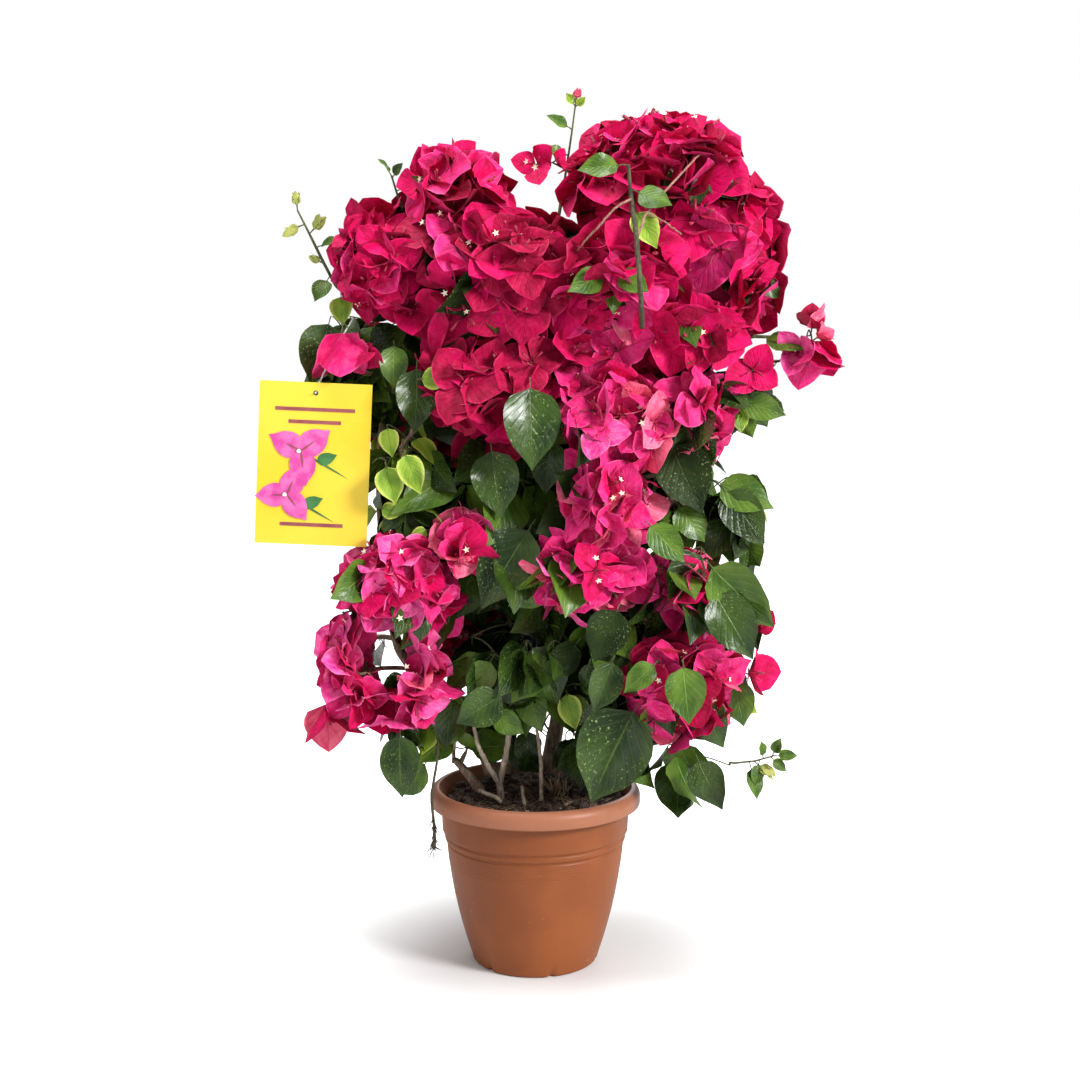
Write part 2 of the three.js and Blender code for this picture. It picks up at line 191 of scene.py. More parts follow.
STYLES = {
    "bloom_left_low": style(LILAC, bloom=0.94, bract=0.036),
    "bloom_left_skirt": style(LILAC, bloom=0.94, bract=0.037),
    "bloom_right_low": style(RUDDY, bloom=0.92, bract=0.036),
    "bloom_right_mid": style(ROSY, bloom=0.85, bract=0.038),
    "bloom_left_mid": style(ROSY, bloom=0.92, bract=0.032),
    "bloom_centre": style(ROSY, bloom=0.96, bract=0.037),
    "bloom_centre_low": style(ROSY, bloom=0.94, bract=0.036),
    "bloom_band": style(ROSY, bloom=0.94, bract=0.034),
    "bloom_band_right": style(ROSY, bloom=0.88, bract=0.034),
    "bloom_heart": style(DEEP_RED, leaf=0.036, bloom=0.955),
    "bloom_heart_low": style(DEEP_RED, bloom=0.95),
    "bloom_upper_left": style({"crimson": 0.54, "cerise": 0.36, "red": 0.1}, bloom=0.9, bract=0.036),
    "foliage_centre_dark": style(leaves=SHADY, bloom=0.02, spacing=0.036, leaf=0.068),
    "foliage_centre": style(leaves=SHADY, bloom=0.03, spacing=0.036, leaf=0.064),
    "foliage_left": style(leaves=YOUNG, bloom=0.03, spacing=0.03, leaf=0.046),
    "foliage_right": style(leaves=BRIGHT, bloom=0.0, spacing=0.04, leaf=0.052),
    "foliage_right_large": style(leaves=BRIGHT, bloom=0.0, spacing=0.044, leaf=0.062),
    "foliage_right_top": style(leaves=BRIGHT, bloom=0.02, spacing=0.032, leaf=0.046),
    "foliage_low_centre": style(leaves=MIXED, bloom=0.0, spacing=0.034, leaf=0.052),
    "foliage_low_left": style(leaves=MIXED, bloom=0.0, spacing=0.036, leaf=0.044),
    "foliage_low_right": style(leaves=LIVELY, bloom=0.0, spacing=0.032, leaf=0.052),
    "foliage_low_right_edge": style(leaves=BRIGHT, bloom=0.0, spacing=0.03, leaf=0.044),
}
TOP_STYLE = style({"crimson": 0.56, "cerise": 0.4, "red": 0.04}, bloom=0.985, bract=0.048, leaf=0.034)
for tall in ("bloom_top_left", "bloom_top_right", "bloom_right"):
    STYLES[tall] = TOP_STYLE
BLOOM_STYLE = style({"crimson": 0.62, "cerise": 0.2, "red": 0.18}, bloom=0.965, leaf=0.036)
UNDER_BRACTS_PAINTED_SHADE = {"red": 0.62, "crimson": 0.38}  # the darker colours under a mass that has some red of its own: painted shade between the blooms
FOLIAGE_STYLE = style(leaves={"dark": 0.62, "green": 0.38}, bloom=0.02, spacing=0.035, leaf=0.058)
SKIN_TRIES = 14  # random places tried on a mass, for each square of its spacing
INNER_TRIES = 6
NEAREST = 0.86  # how near two sprays may start, as a share of the spacing
OPEN_AHEAD = 0.009  # a spray starts only where the masses leave this much open in front of it
INNER_MARGIN = 0.016  # how far inside a mass the shaded leaves start
INNER = {"spacing": 0.036, "depth": (0.03, 0.075), "leaf": 0.056}
UNDER_DEPTH = (0.01, 0.026)  # the second layer of bloom: how deep it lies
UNDER_SPACING = 1.15  # and how much further apart
PROUD = (0.003, 0.008)  # how far a tip may stand clear of its mass, and on some sprays
PROUD_SHARE = 0.3
DEEP_COVER = 0.006  # how far inside the masses the shaded leaves stay
SETTLE_STEP = 0.008  # the most that a spray is drawn inwards at a time
SETTLE_TRIES = 6
GIVEN_UP = 0.009  # a spray that still stands this proud is left out
FAR_OUT = 0.02  # a point further out than this isn't measured


def style_of(node):
    """The style of a mass: its own, or the one that its name calls for."""
    return STYLES.get(node, BLOOM_STYLE if node.startswith("bloom") else FOLIAGE_STYLE)


# The blooms that hang alone: their mass, how far across, back and up it each starts,
# its colour, its bracts' length, how many degrees they open, and which way it faces.
SINGLES = [
    ("bloom_hanging", 0.5, 0.5, 0.95, "crimson", 0.046, 27, (0.08, -0.3, -1)),
    ("bloom_by_card", 0.42, 0.5, 0.95, "cerise", 0.046, 24, (0.05, -0.35, -1)),
    ("bloom_by_card", 0.78, 0.5, 0.7, "crimson", 0.03, 36, (0.4, -0.5, -0.7)),
    ("bloom_single_top", 0.42, 0.5, 0.6, "crimson", 0.026, 60, (-0.35, -1, 0.1)),
    ("bloom_single_top", 0.85, 0.6, 0.68, "crimson", 0.014, 50, (0.8, -0.6, 0.3)),
    ("bloom_single_right", 0.5, 0.4, 0.52, "crimson", 0.03, 78, (0.15, -1, 0.1)),
    ("bloom_far_right", 0.5, 0.5, 0.46, "cerise", 0.042, 42, (0.05, -0.6, -0.95)),
    ("bloom_far_right", 0.3, 0.4, 0.42, "magenta", 0.03, 55, (-0.5, -0.8, -0.2)),
    ("bloom_far_right", 0.58, 0.6, 0.52, "crimson", 0.042, 32, (0.2, -0.35, -1)),
    ("bloom_far_right", 0.55, 0.5, 0.66, "red", 0.027, 35, (0.1, -0.4, 1)),
    ("bloom_far_right", 0.68, 0.6, 0.56, "rose", 0.02, 40, (0.7, -0.5, 0.5)),
    ("bloom_right_tip", 0.4, 0.5, 0.8, "red", 0.024, 24, (0.5, -0.3, 0.6)),
    ("bloom_right_tip", 0.3, 0.5, 0.3, "crimson", 0.036, 44, (0.9, -0.45, 0.1)),
    ("bloom_right_tip", 0.1, 0.5, 0.4, "cerise", 0.022, 40, (-0.2, -0.8, 0.5)),
]

# Larger blooms near the edge of the topmost masses, stated in the same way.
EDGE_BLOOMS = [
    ("bloom_top_right", 0.276, 0.404, 0.66, "crimson", 0.039, 52, (-0.5, -0.6, 0.8)),
    ("bloom_top_right", 0.384, 0.372, 0.69, "cerise", 0.037, 48, (-0.1, -0.7, 0.9)),
    ("bloom_top_right", 0.568, 0.364, 0.69, "crimson", 0.046, 45, (0.2, -0.7, 0.9)),
    ("bloom_top_right", 0.684, 0.368, 0.64, "crimson", 0.042, 58, (0.5, -0.8, 0.5)),
    ("bloom_right", 0.644, 0.368, 0.764, "cerise", 0.039, 55, (0.5, -0.7, 0.6)),
    ("bloom_right", 0.788, 0.392, 0.616, "crimson", 0.037, 52, (0.8, -0.6, 0.2)),
    ("bloom_right", 0.788, 0.392, 0.396, "crimson", 0.039, 50, (0.8, -0.6, -0.1)),
    ("bloom_right", 0.712, 0.38, 0.276, "red", 0.035, 45, (0.6, -0.6, -0.6)),
    ("bloom_top_left", 0.336, 0.4, 0.63, "crimson", 0.04, 55, (-0.4, -0.8, 0.6)),
    ("bloom_top_left", 0.572, 0.356, 0.65, "cerise", 0.039, 60, (0.1, -0.9, 0.6)),
    ("bloom_top_left", 0.752, 0.356, 0.54, "crimson", 0.035, 50, (0.6, -0.7, 0.4)),
    ("bloom_upper_left", 0.292, 0.36, 0.708, "crimson", 0.032, 50, (-0.6, -0.6, 0.5)),
    ("bloom_upper_left", 0.208, 0.356, 0.464, "crimson", 0.032, 48, (-0.8, -0.6, -0.1)),
]

# Sprays that close the gaps between masses: a place, what, how many, and how far apart.
FILLS = [
    ((0.046, 0.0, 0.602), "dark", 9, 0.024),
    ((0.04, -0.062, 0.607), "crimson", 4, 0.02),
    ((0.066, -0.07, 0.6), "cerise", 2, 0.012),
    ((-0.118, -0.014, 0.648), "dark", 6, 0.018),
    ((-0.112, -0.034, 0.65), "crimson", 2, 0.012),
    ((-0.06, -0.012, 0.24), "green", 5, 0.018),
    ((-0.01, 0.028, 0.232), "dark", 7, 0.022),
    ((0.05, 0.028, 0.228), "dark", 6, 0.022),
    ((-0.088, 0.004, 0.218), "green", 6, 0.02),
    ((0.018, -0.026, 0.226), "young", 2, 0.012),
]

# Where the sky shows through the bush from in front: across, up, and half its width and height.
GAP_EDGE = 1.7  # no spray starts within this share of a gap's half width and height
GAPS = [(-0.141, 0.316, 0.012, 0.021), (0.012, 0.232, 0.006, 0.012)]

# What stands on the open shoots: the shoot, how far along it, what, how long, and which way it points.
SHOOT_DRESS = [
    ("shoot_top", 0.93, "rose", 0.01, (0.2, 0, 1)),
    ("shoot_top", 0.9, "young", 0.013, (-0.5, -0.2, 0.8)),
    ("shoot_top", 0.89, "young", 0.012, (0.6, -0.2, 0.6)),
    ("shoot_top", 0.74, "green", 0.024, (-0.8, -0.3, 0.5)),
    ("shoot_top", 0.56, "green", 0.021, (-0.7, -0.4, 0.2)),
    ("shoot_left_top", 0.98, "green", 0.017, (-0.5, -0.2, 0.8)),
    ("shoot_left_top", 0.93, "dark", 0.015, (0.4, -0.3, 0.6)),
    ("shoot_left_top", 0.6, "green", 0.034, (0.9, -0.4, 0.1)),
    ("shoot_upper_left", 1.0, "lime", 0.014, (-0.1, -0.1, 1)),
    ("shoot_upper_left", 0.86, "lime", 0.017, (-0.9, -0.2, -0.35)),
    ("shoot_upper_left", 0.76, "lime", 0.017, (0.7, -0.2, 0.7)),
    ("shoot_upper_left", 0.6, "green", 0.022, (0.9, -0.3, 0.3)),
    ("shoot_upper_left", 0.42, "lime", 0.013, (-0.8, -0.2, 0.5)),
    ("shoot_upper_left", 0.3, "green", 0.026, (-0.4, -0.5, -0.7)),
    ("shoot_upper_left", 0.16, "young", 0.03, (0.1, -0.4, -0.9)),
    ("shoot_low_right", 0.98, "green", 0.019, (1, -0.2, 0.1)),
    ("shoot_low_right", 0.96, "green", 0.017, (0.3, -0.3, 0.9)),
    ("shoot_low_right", 0.9, "green", 0.017, (0.6, -0.3, -0.5)),
    ("shoot_low_right", 0.74, "green", 0.016, (-0.1, -0.3, 0.9)),
    ("shoot_low_right", 0.68, "green", 0.021, (-0.2, -0.4, -0.8)),
    ("shoot_low_right", 0.46, "green", 0.03, (0.2, -0.4, -0.9)),
    ("shoot_low_right", 0.55, "lime", 0.019, (0.8, -0.3, -0.6)),
    ("shoot_cut_stick", 0.97, "green", 0.038, (-0.95, -0.2, -0.05)),
    ("shoot_cut_stick", 0.55, "green", 0.034, (0.8, -0.4, -0.3)),
    ("shoot_cut_stick", 0.3, "young", 0.04, (0.5, -0.5, -0.9)),
    ("bough_far_right", 0.35, "green", 0.04, (0.9, -0.5, -0.2)),
    ("bough_right_tip", 0.6, "green", 0.028, (0.5, -0.4, 0.8)),
    ("bough_right_tip", 0.3, "young", 0.03, (0.1, -0.5, 0.9)),
]

# The large leaves in front: the mass that each hangs on, how far across and up that mass,
# its kind and length, and how many degrees its tip swings to the right of straight down.
FRONT_LEAVES = [
    ("foliage_centre_dark", 0.67, 1.0, "dark", 0.076, 2),
    ("foliage_centre_dark", 0.42, 0.57, "dark", 0.064, 8),
    ("foliage_centre_dark", 0.81, 0.63, "dark", 0.052, -10),
    ("foliage_centre", 0.73, 0.82, "dark", 0.086, -33),
    # a leaf of the near-black kind, painted shade
    ("foliage_mid_right", 0.57, 0.73, "deep", 0.07, 24),
    ("foliage_mid_right", 0.4, 0.23, "green", 0.046, 45),
    ("foliage_right", 0.3, 0.72, "green", 0.056, 66),
    ("foliage_right", 0.36, 0.65, "dark", 0.062, 38),
    ("foliage_right_large", 0.26, 0.85, "green", 0.08, 46),
    ("foliage_right_large", 0.3, 0.6, "dark", 0.07, 30),
    ("foliage_right_top", 0.35, 0.5, "green", 0.044, 72),
    ("foliage_low_right", 0.57, 0.4, "dark", 0.094, -29),
    ("foliage_low_right", 0.37, 0.67, "dark", 0.05, -20),
    # a leaf of the near-black kind, painted shade
    ("foliage_low_right", 0.4, 0.96, "deep", 0.052, -25),
    ("foliage_low_right", 0.96, 0.67, "green", 0.052, 5),
    ("foliage_low_right", 0.72, 0.67, "green", 0.038, -50),
    ("foliage_low_left", 0.5, 0.28, "dark", 0.058, 0),
    ("foliage_low_centre", 0.46, 0.35, "dark", 0.05, -60),
    ("foliage_low_centre", 0.52, 0.08, "green", 0.046, 96),
    ("foliage_low_centre", 0.8, 0.06, "green", 0.042, 20),
    ("foliage_low_centre", 0.12, 0.3, "dark", 0.05, -8),
    ("foliage_low_centre", 0.4, 0.16, "green", 0.034, 60),
    ("foliage_low_centre", 0.18, 0.14, "young", 0.026, -75),
    ("foliage_low_centre", 0.9, 0.3, "young", 0.036, 12),
    ("foliage_low_left", 0.95, 0.16, "green", 0.03, -30),
    ("foliage_low_centre", 0.3, 0.02, "young", 0.024, 84),
    ("foliage_low_right_edge", 0.74, 0.53, "green", 0.046, 10),
    ("foliage_bottom_right", 0.6, 0.55, "dark", 0.052, 25),
    ("foliage_upper_left", 0.71, 0.63, "green", 0.042, 0),
    ("foliage_upper_left", 0.9, 0.47, "dark", 0.062, 0),
    ("foliage_upper_left", 0.2, 0.79, "dark", 0.062, -15),
    ("foliage_left", 0.02, 0.72, "dark", 0.056, -18),
    ("foliage_left", 0.15, 0.66, "young", 0.03, -45),
    ("foliage_left", 0.3, 0.63, "young", 0.036, 15),
    ("foliage_left", 0.52, 0.71, "young", 0.04, 22),
    ("foliage_left", 0.3, 0.87, "young", 0.028, 10),
    ("foliage_left", 0.08, 0.81, "young", 0.034, 15),
    ("foliage_left", 0.23, 0.36, "young", 0.022, 80),
    ("foliage_left", 0.75, 0.22, "young", 0.018, -70),
    ("foliage_left", 0.77, 0.2, "young", 0.017, 60),
    ("bloom_heart_low", 0.1, 0.56, "young", 0.032, 95),
]
FRONT_PROUD = 0.006  # how far in front of their mass they hang
FILL_BRACT = (0.032, 0.04)  # the least and the greatest bract in a fill, and the same for its leaves
FILL_LEAF = (0.034, 0.052)

# Bare twigs in front of the bloom: their routes and radii in metres.
FRONT_TWIGS = [
    ([(0.0878, -0.1095, 0.748), (0.09, -0.117, 0.73), (0.0915, -0.13, 0.708), (0.093, -0.1365, 0.685),
      (0.0945, -0.137, 0.664), (0.097, -0.124, 0.644), (0.099, -0.1, 0.628)],
     (0.0022, 0.0025), "stick"),
    ([(0.092, -0.13, 0.706), (0.1, -0.124, 0.728), (0.122, -0.106, 0.755), (0.146, -0.088, 0.781),
      (0.157, -0.07, 0.793)], (0.0013, 0.0008), "thin"),
    ([(0.0885, -0.112, 0.744), (0.074, -0.12, 0.736), (0.058, -0.127, 0.718), (0.043, -0.118, 0.702),
      (0.036, -0.098, 0.694)], (0.0012, 0.0008), "thin"),
    ([(0.101, -0.123, 0.73), (0.118, -0.122, 0.722), (0.134, -0.108, 0.712)], (0.001, 0.0007), "thin"),
]

TENDRIL_START = (-0.094, -0.05, 0.232)

# Thin side stems at the foot of the bush: their routes and radii.
FOOT_STEMS = [
    ([(-0.034, -0.016, 0.158), (-0.035, -0.022, 0.182), (-0.028, -0.03, 0.215), (-0.023, -0.034, 0.25),
      (-0.026, -0.03, 0.29)], (0.0036, 0.0018)),
    ([(-0.035, -0.022, 0.18), (-0.046, -0.03, 0.2), (-0.056, -0.036, 0.222), (-0.064, -0.036, 0.262)],
     (0.0028, 0.0016)),
    ([(-0.02, -0.042, 0.16), (-0.04, -0.038, 0.172), (-0.056, -0.03, 0.176)], (0.0022, 0.0018)),
    ([(-0.01, -0.038, 0.16), (-0.013, -0.036, 0.182)], (0.0019, 0.0015)),
    ([(0.006, -0.03, 0.16), (0.006, -0.034, 0.2), (0.001, -0.036, 0.25)], (0.0022, 0.0014)),
]

# ------------------------------------------------------------------ materials


class Look:
    """A node material, built a step at a time round one Principled shader."""

    def __init__(self, name, **settings):
        self.material = bpy.data.materials.new(name)
        self.material.use_nodes = True
        self.tree = self.material.node_tree
        self.shader = self.tree.nodes["Principled BSDF"]
        for key, value in settings.items():
            self.shader.inputs[key.replace("_", " ")].default_value = value

    def put(self, socket, value):
        """Links a socket to another, or sets its value. A colour of three parts is made opaque."""
        if isinstance(value, bpy.types.NodeSocket):
            self.tree.links.new(value, socket)
        elif isinstance(value, tuple) and len(value) == 3 and len(socket.default_value) == 4:
            socket.default_value = (*value, 1)
        else:
            socket.default_value = value

    def node(self, kind, values=None, **attributes):
        """Adds a node with these inputs and settings."""
        made = self.tree.nodes.new("ShaderNode" + kind)
        for key, value in attributes.items():
            setattr(made, key, value)
        for key, value in (values or {}).items():
            self.put(made.inputs[key], value)
        return made

    def set(self, name, value):
        self.put(self.shader.inputs[name], value)

    def math(self, operation, *values):
        return self.node("Math", dict(enumerate(values)), operation=operation).outputs[0]

    def spread(self, value, low, high, to_low=0.0, to_high=1.0):
        """Value, taken from one range to another along a smooth step."""
        ends = {"Value": value, "From Min": low, "From Max": high, "To Min": to_low, "To Max": to_high}
        return self.node("MapRange", ends, interpolation_type="SMOOTHSTEP").outputs[0]

    def mix(self, factor, a, b, blend="MIX"):
        made = self.node("Mix", data_type="RGBA", blend_type=blend)
        self.put(made.inputs["Factor"], factor)
        self.put(made.inputs[6], a)
        self.put(made.inputs[7], b)
        return made.outputs[2]

    def noise(self, vector, scale, detail=3.0, roughness=0.55):
        values = {"Vector": vector, "Scale": scale, "Detail": detail, "Roughness": roughness}
        return self.node("TexNoise", values).outputs["Fac"]

    def place(self):
        return self.node("TexCoord").outputs["Object"]

    def bump(self, height, distance, strength=1.0, after=None):
        values = {"Height": height, "Distance": distance, "Strength": strength}
        made = self.node("Bump", values)
        if after is not None:
            self.put(made.inputs["Normal"], after)
        return made.outputs[0]


def pot_look():
    """Satin moulded plastic, a little faded and dusty, with a few light scuffs and a painted highlight on the
    rim.
    """
    look = Look("terracotta_plastic", IOR=1.46, Specular_IOR_Level=0.32)
    place = look.place()
    cloudy = look.noise(place, 9)
    fine = look.noise(place, 160, 4)
    colour = look.mix(look.spread(cloudy, 0.35, 0.68), *TERRACOTTA)
    level = look.node("Mapping", {"Vector": place, "Scale": (22, 22, 90)}).outputs[0]
    scuff = look.spread(look.noise(level, 3.2, 6), 0.69, 0.75)
    colour = look.mix(look.math("MULTIPLY", scuff, 0.35), colour, SCUFF_COLOUR)
    height = look.node("SeparateXYZ", {0: place}).outputs[2]
    # the rim painted paler than the wall: a painted highlight
    rim = look.spread(height, RIM_HIGHLIGHT_FROM, RIM_HIGHLIGHT_FROM + 0.002, 0, 0.75)
    colour = look.mix(rim, colour, RIM_PAINTED_HIGHLIGHT)
    look.set("Base Color", look.mix(look.spread(fine, 0.3, 0.8, 0, 0.12), colour, PORE_COLOUR))
    look.set("Roughness", look.spread(cloudy, 0.3, 0.7, 0.4, 0.52))
    look.set("Normal", look.bump(fine, 0.00025, 0.5))
    return look.material


def soil_look(name, shades, scale=240):
    """Crumbly earth or fibre in two shades, of a grain that the scale sets."""
    look = Look(name)
    place = look.place()
    grain = look.noise(place, scale, 6, 0.7)
    look.set("Base Color", look.mix(look.spread(grain, 0.34, 0.66), *shades))
    look.set("Roughness", look.spread(grain, 0.3, 0.7, 0.98, 0.8))
    look.set("Normal", look.bump(grain, 0.0012, 0.8))
    return look.material


def bark_look(name, shades, streak=70):
    """Grey-brown bark with cracks along the stem, paler where it has weathered."""
    look = Look(name)
    place = look.place()
    along = look.node("Mapping", {"Vector": place, "Scale": (1, 1, 0.16)}).outputs[0]
    streaks = look.noise(along, streak * 5, 6, 0.65)
    patches = look.noise(place, streak, 3)
    colour = look.mix(look.spread(streaks, 0.32, 0.68), *shades)
    pale = tuple(min(1, 1.5 * part) for part in shades[1])
    colour = look.mix(look.spread(patches, 0.52, 0.7, 0, 0.6), colour, pale)
    look.set("Base Color", colour)
    look.set("Roughness", look.spread(streaks, 0.3, 0.7, 0.9, 0.7))
    look.set("Normal", look.bump(streaks, 0.0008, 0.9))
    return look.material


def blade_veins(look, blade, pairs, slant, width):
    """How near a place on a blade is to its midrib, and to the side veins that curve up from it."""
    parts = look.node("SeparateXYZ", {0: blade})
    across, along = parts.outputs[0], parts.outputs[1]
    aside = look.math("ABSOLUTE", look.math("SUBTRACT", across, 0.5))
    midrib = look.spread(aside, width, 0.2 * width)
    bent = look.math("MULTIPLY", look.math("POWER", aside, 0.8), slant)
    phase = look.math("MULTIPLY", look.math("SUBTRACT", along, bent), pairs)
    wave = look.math("PINGPONG", phase, 0.5)
    side = look.spread(wave, 0.085, 0.015)
    return midrib, side, wave, aside


def leaf_look(kind):
    """A waxy leaf: paler veins, quilted between them, and light speckles on some."""
    dark, light, vein, edge = LEAVES[kind]
    gloss = GLOSS[kind]
    # the near-black leaves, painted shade, also get no wax and little shine
    wax, shine = (0.0, 0.15) if kind == "deep" else (0.12, 0.3)
    look = Look("leaf_" + kind, IOR=1.45, Coat_Weight=wax, Coat_Roughness=0.14, Specular_IOR_Level=shine)
    blade = look.node("UVMap", uv_map="Blade").outputs[0]
    cell = look.node("UVMap", uv_map="Cell").outputs[0]
    midrib, side, wave, aside = blade_veins(look, blade, 7.0, 0.75, 0.022)
    colour = look.mix(look.spread(look.noise(cell, 5.5, 2), 0.36, 0.64), dark, light)
    rim = look.spread(aside, 0.3, 0.5, 0, 0.8 if kind == "young" else 0.35)
    colour = look.mix(rim, colour, edge)
    colour = look.mix(look.math("MULTIPLY", side, 0.22), colour, vein)
    colour = look.mix(look.math("MULTIPLY", midrib, 0.6), colour, vein)
    speckle = look.spread(look.noise(cell, 120, 2), 0.6, 0.7)
    region = look.spread(look.noise(cell, 7, 1), 0.42, 0.6)
    spots = look.math("MULTIPLY", look.math("MULTIPLY", speckle, region), 0.8)
    look.set("Base Color", look.mix(spots, colour, SPECKLE))
    look.set("Roughness", look.spread(look.noise(cell, 40, 3), 0.3, 0.7, gloss, gloss + 0.16))
    quilt = look.spread(wave, 0.0, 0.3)
    relief = look.bump(quilt, 0.0005, 0.4)
    relief = look.bump(look.math("SUBTRACT", 1.0, midrib), 0.001, 0.5, relief)
    look.set("Normal", look.bump(look.noise(cell, 60, 3), 0.0005, 0.6, relief))
    return look.material


def bract_look(kind):
    """A papery bract: darker net of veins, deeper towards its base, and thin lighter edges, partly its own
    paler rim and partly painted highlight.
    """
    dark, light, vein, edge = BRACTS[kind]
    look = Look("bract_" + kind, IOR=1.4, Sheen_Weight=0.03, Sheen_Roughness=0.5, Specular_IOR_Level=0.14)
    mottle, veined, crinkle = (0.1, 0.05, 0.12) if kind == "lime" else (0.35, 0.3, 0.6)
    blade = look.node("UVMap", uv_map="Blade").outputs[0]
    cell = look.node("UVMap", uv_map="Cell").outputs[0]
    midrib, side, wave, aside = blade_veins(look, blade, 6.0, 0.9, 0.016)
    colour = look.mix(look.spread(look.noise(cell, 6, 2), 0.34, 0.66), dark, light)
    colour = look.mix(look.spread(look.noise(cell, 19, 3), 0.4, 0.75, 0, mottle), colour, edge)
    net = look.node("TexVoronoi", {"Vector": cell, "Scale": 46.0}, feature="DISTANCE_TO_EDGE")
    mesh = look.spread(net.outputs["Distance"], 0.09, 0.0, 0, veined)
    colour = look.mix(mesh, colour, vein)
    colour = look.mix(look.math("MULTIPLY", side, 0.2), colour, vein)
    colour = look.mix(look.math("MULTIPLY", midrib, 0.6), colour, vein)
    # the thin pale rim: partly the bract's own paler edge, partly painted highlight where light catches and
    # shows through it
    colour = look.mix(look.spread(aside, 0.44, 0.5, 0, 0.5), colour, edge)
    base = look.node("SeparateXYZ", {0: blade}).outputs[1]
    look.set("Base Color", look.mix(look.spread(base, 0.28, 0.0, 0, 0.55), colour, vein))
    look.set("Roughness", look.spread(look.noise(cell, 50, 3), 0.3, 0.7, 0.5, 0.66))
    relief = look.bump(look.spread(wave, 0.0, 0.25), 0.0006, 0.42)
    look.set("Normal", look.bump(look.noise(cell, 90, 4), 0.0006, crinkle, relief))
    return look.material


def mottled_look(name, shades, scale=300.0, rough=(0.5, 0.7), **settings):
    """Two close shades of one colour, dealt out by a fine noise."""
    look = Look(name, **settings)
    grain = look.noise(look.place(), scale, 3)
    look.set("Base Color", look.mix(look.spread(grain, 0.35, 0.65), *shades))
    look.set("Roughness", look.spread(grain, 0.3, 0.7, *rough))
    look.set("Normal", look.bump(grain, 0.0002, 0.4))
    return look.material


# ------------------------------------------------------------------ pieces


def piece(name, vertices, faces, material, slot, replaces=(), maps=None):
    """A smooth mesh that rides with the plant. A map gives each vertex its place on the pattern."""
    mesh = bpy.data.meshes.new(name)
    mesh.from_pydata(np.asarray(vertices, float).tolist(), [], faces)
    corners = np.empty(len(mesh.loops), np.int32)
    mesh.loops.foreach_get("vertex_index", corners)
    for key, places in (maps or {}).items():
        spread = places[corners].astype(np.float32)
        mesh.uv_layers.new(name=key).uv.foreach_set("vector", spread.ravel())
    mesh.polygons.foreach_set("use_smooth", np.full(len(mesh.polygons), True))
    mesh.materials.append(material)
    mesh.update()
    made = bpy.data.objects.new(name, mesh)
    bpy.context.collection.objects.link(made)
    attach(made, "root")
    if replaces:
        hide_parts(*replaces)


class Bundle:
    """Collects many small meshes that end up as one piece."""

    def __init__(self):
        self.vertices = []
        self.faces = []
        self.count = 0

    def add(self, vertices, faces):
        self.vertices.append(np.asarray(vertices, float))
        self.faces.extend([corner + self.count for corner in face] for face in faces)
        self.count += len(vertices)

    def tube(self, *details, **options):
        self.add(*tube(*details, **options))

    def piece(self, name, material, slot):
        piece(name, np.concatenate(self.vertices), self.faces, material, slot)


def grid_faces(rows, columns, closed=False):
    """Quads of a grid of rows x columns vertices, joined round on itself if closed."""
    row, column = np.mgrid[0 : rows - 1, 0 : columns - (0 if closed else 1)]
    beside = (column + 1) % columns
    corners = [row * columns + column, row * columns + beside]
    corners += [(row + 1) * columns + beside, (row + 1) * columns + column]
    return np.stack([c.ravel() for c in corners], 1)


def unit(vectors):
    """The same directions, each one long."""
    return vectors / np.maximum(np.linalg.norm(vectors, axis=-1, keepdims=True), 1e-9)


def smooth_step(value):
    """Nothing below 0, one above 1, and a soft ramp between."""
    t = np.clip(value, 0, 1)
    return t * t * (3 - 2 * t)


def tube(points, radii, sides=6, ridges=None):
    """A closed tube along a line of points. Ridges gives a factor for each ring and side."""
    points = np.asarray(points, float)
    along = unit(np.gradient(points, axis=0))
    guide = np.array([0.31, 0.95, 0.05]) if abs(along[0][1]) < 0.9 else np.array([1.0, 0.1, 0.1])
    first = unit(np.cross(along, guide))
    second = np.cross(along, first)
    turn = np.arange(sides) / sides * 2 * np.pi
    size = np.asarray(radii, float)[:, None] * (np.ones((1, sides)) if ridges is None else ridges)
    ring = first[:, None] * np.cos(turn)[None, :, None] + second[:, None] * np.sin(turn)[None, :, None]
    rings = points[:, None] + ring * size[:, :, None]
    vertices = np.concatenate([rings.reshape(-1, 3), points[:1], points[-1:]])
    faces = grid_faces(len(points), sides, closed=True)[:, ::-1].tolist()
    foot, tip = len(vertices) - 2, len(vertices) - 1
    last = (len(points) - 1) * sides
    for k in range(sides):
        beside = (k + 1) % sides
        faces.append([foot, k, beside])
        faces.append([tip, last + beside, last + k])
    return vertices, faces


def soften(values):
    """Draws each value but the first and the last towards its neighbours."""
    values[1:-1] = (values[:-2] + 2 * values[1:-1] + values[2:]) / 4


def fine_line(route, count):
    """A route of a few points as a line of many, with soft corners."""
    route = np.asarray(route)
    share = np.linspace(0, len(route) - 1, count)
    line = np.stack([np.interp(share, range(len(route)), part) for part in route.T], 1)
    soften(line)
    return line


# ------------------------------------------------------------------ pot and soil


def wall_radius(z):
    """The outer radius of the pot's wall, without its steps."""
    return POT_BASE + POT_FLARE * z - POT_CURL * z * z


def wall_relief(z):
    """How far the steps, the grooves under them and the turned rings stand off the wall."""
    stepped = sum(POT_STEP * smooth_step((z - step) / POT_STEP_RUN) for step in POT_STEPS)
    for step in POT_STEPS:
        stepped -= POT_GROOVE * math.exp(-(((z - step + GROOVE_DROP) / GROOVE_WIDTH) ** 2))
    start, end, pitch = POT_RINGS
    return stepped + (RING_RELIEF * math.sin(2 * math.pi * z / pitch) if start < z < end else 0)


def arc(centre, radius, start, end, steps):
    """Points round part of an ellipse in the profile, with angles in degrees up from outwards."""
    turns = np.radians(np.linspace(start, end, steps))
    return [(centre[0] + radius[0] * math.cos(t), centre[1] + radius[1] * math.sin(t)) for t in turns]


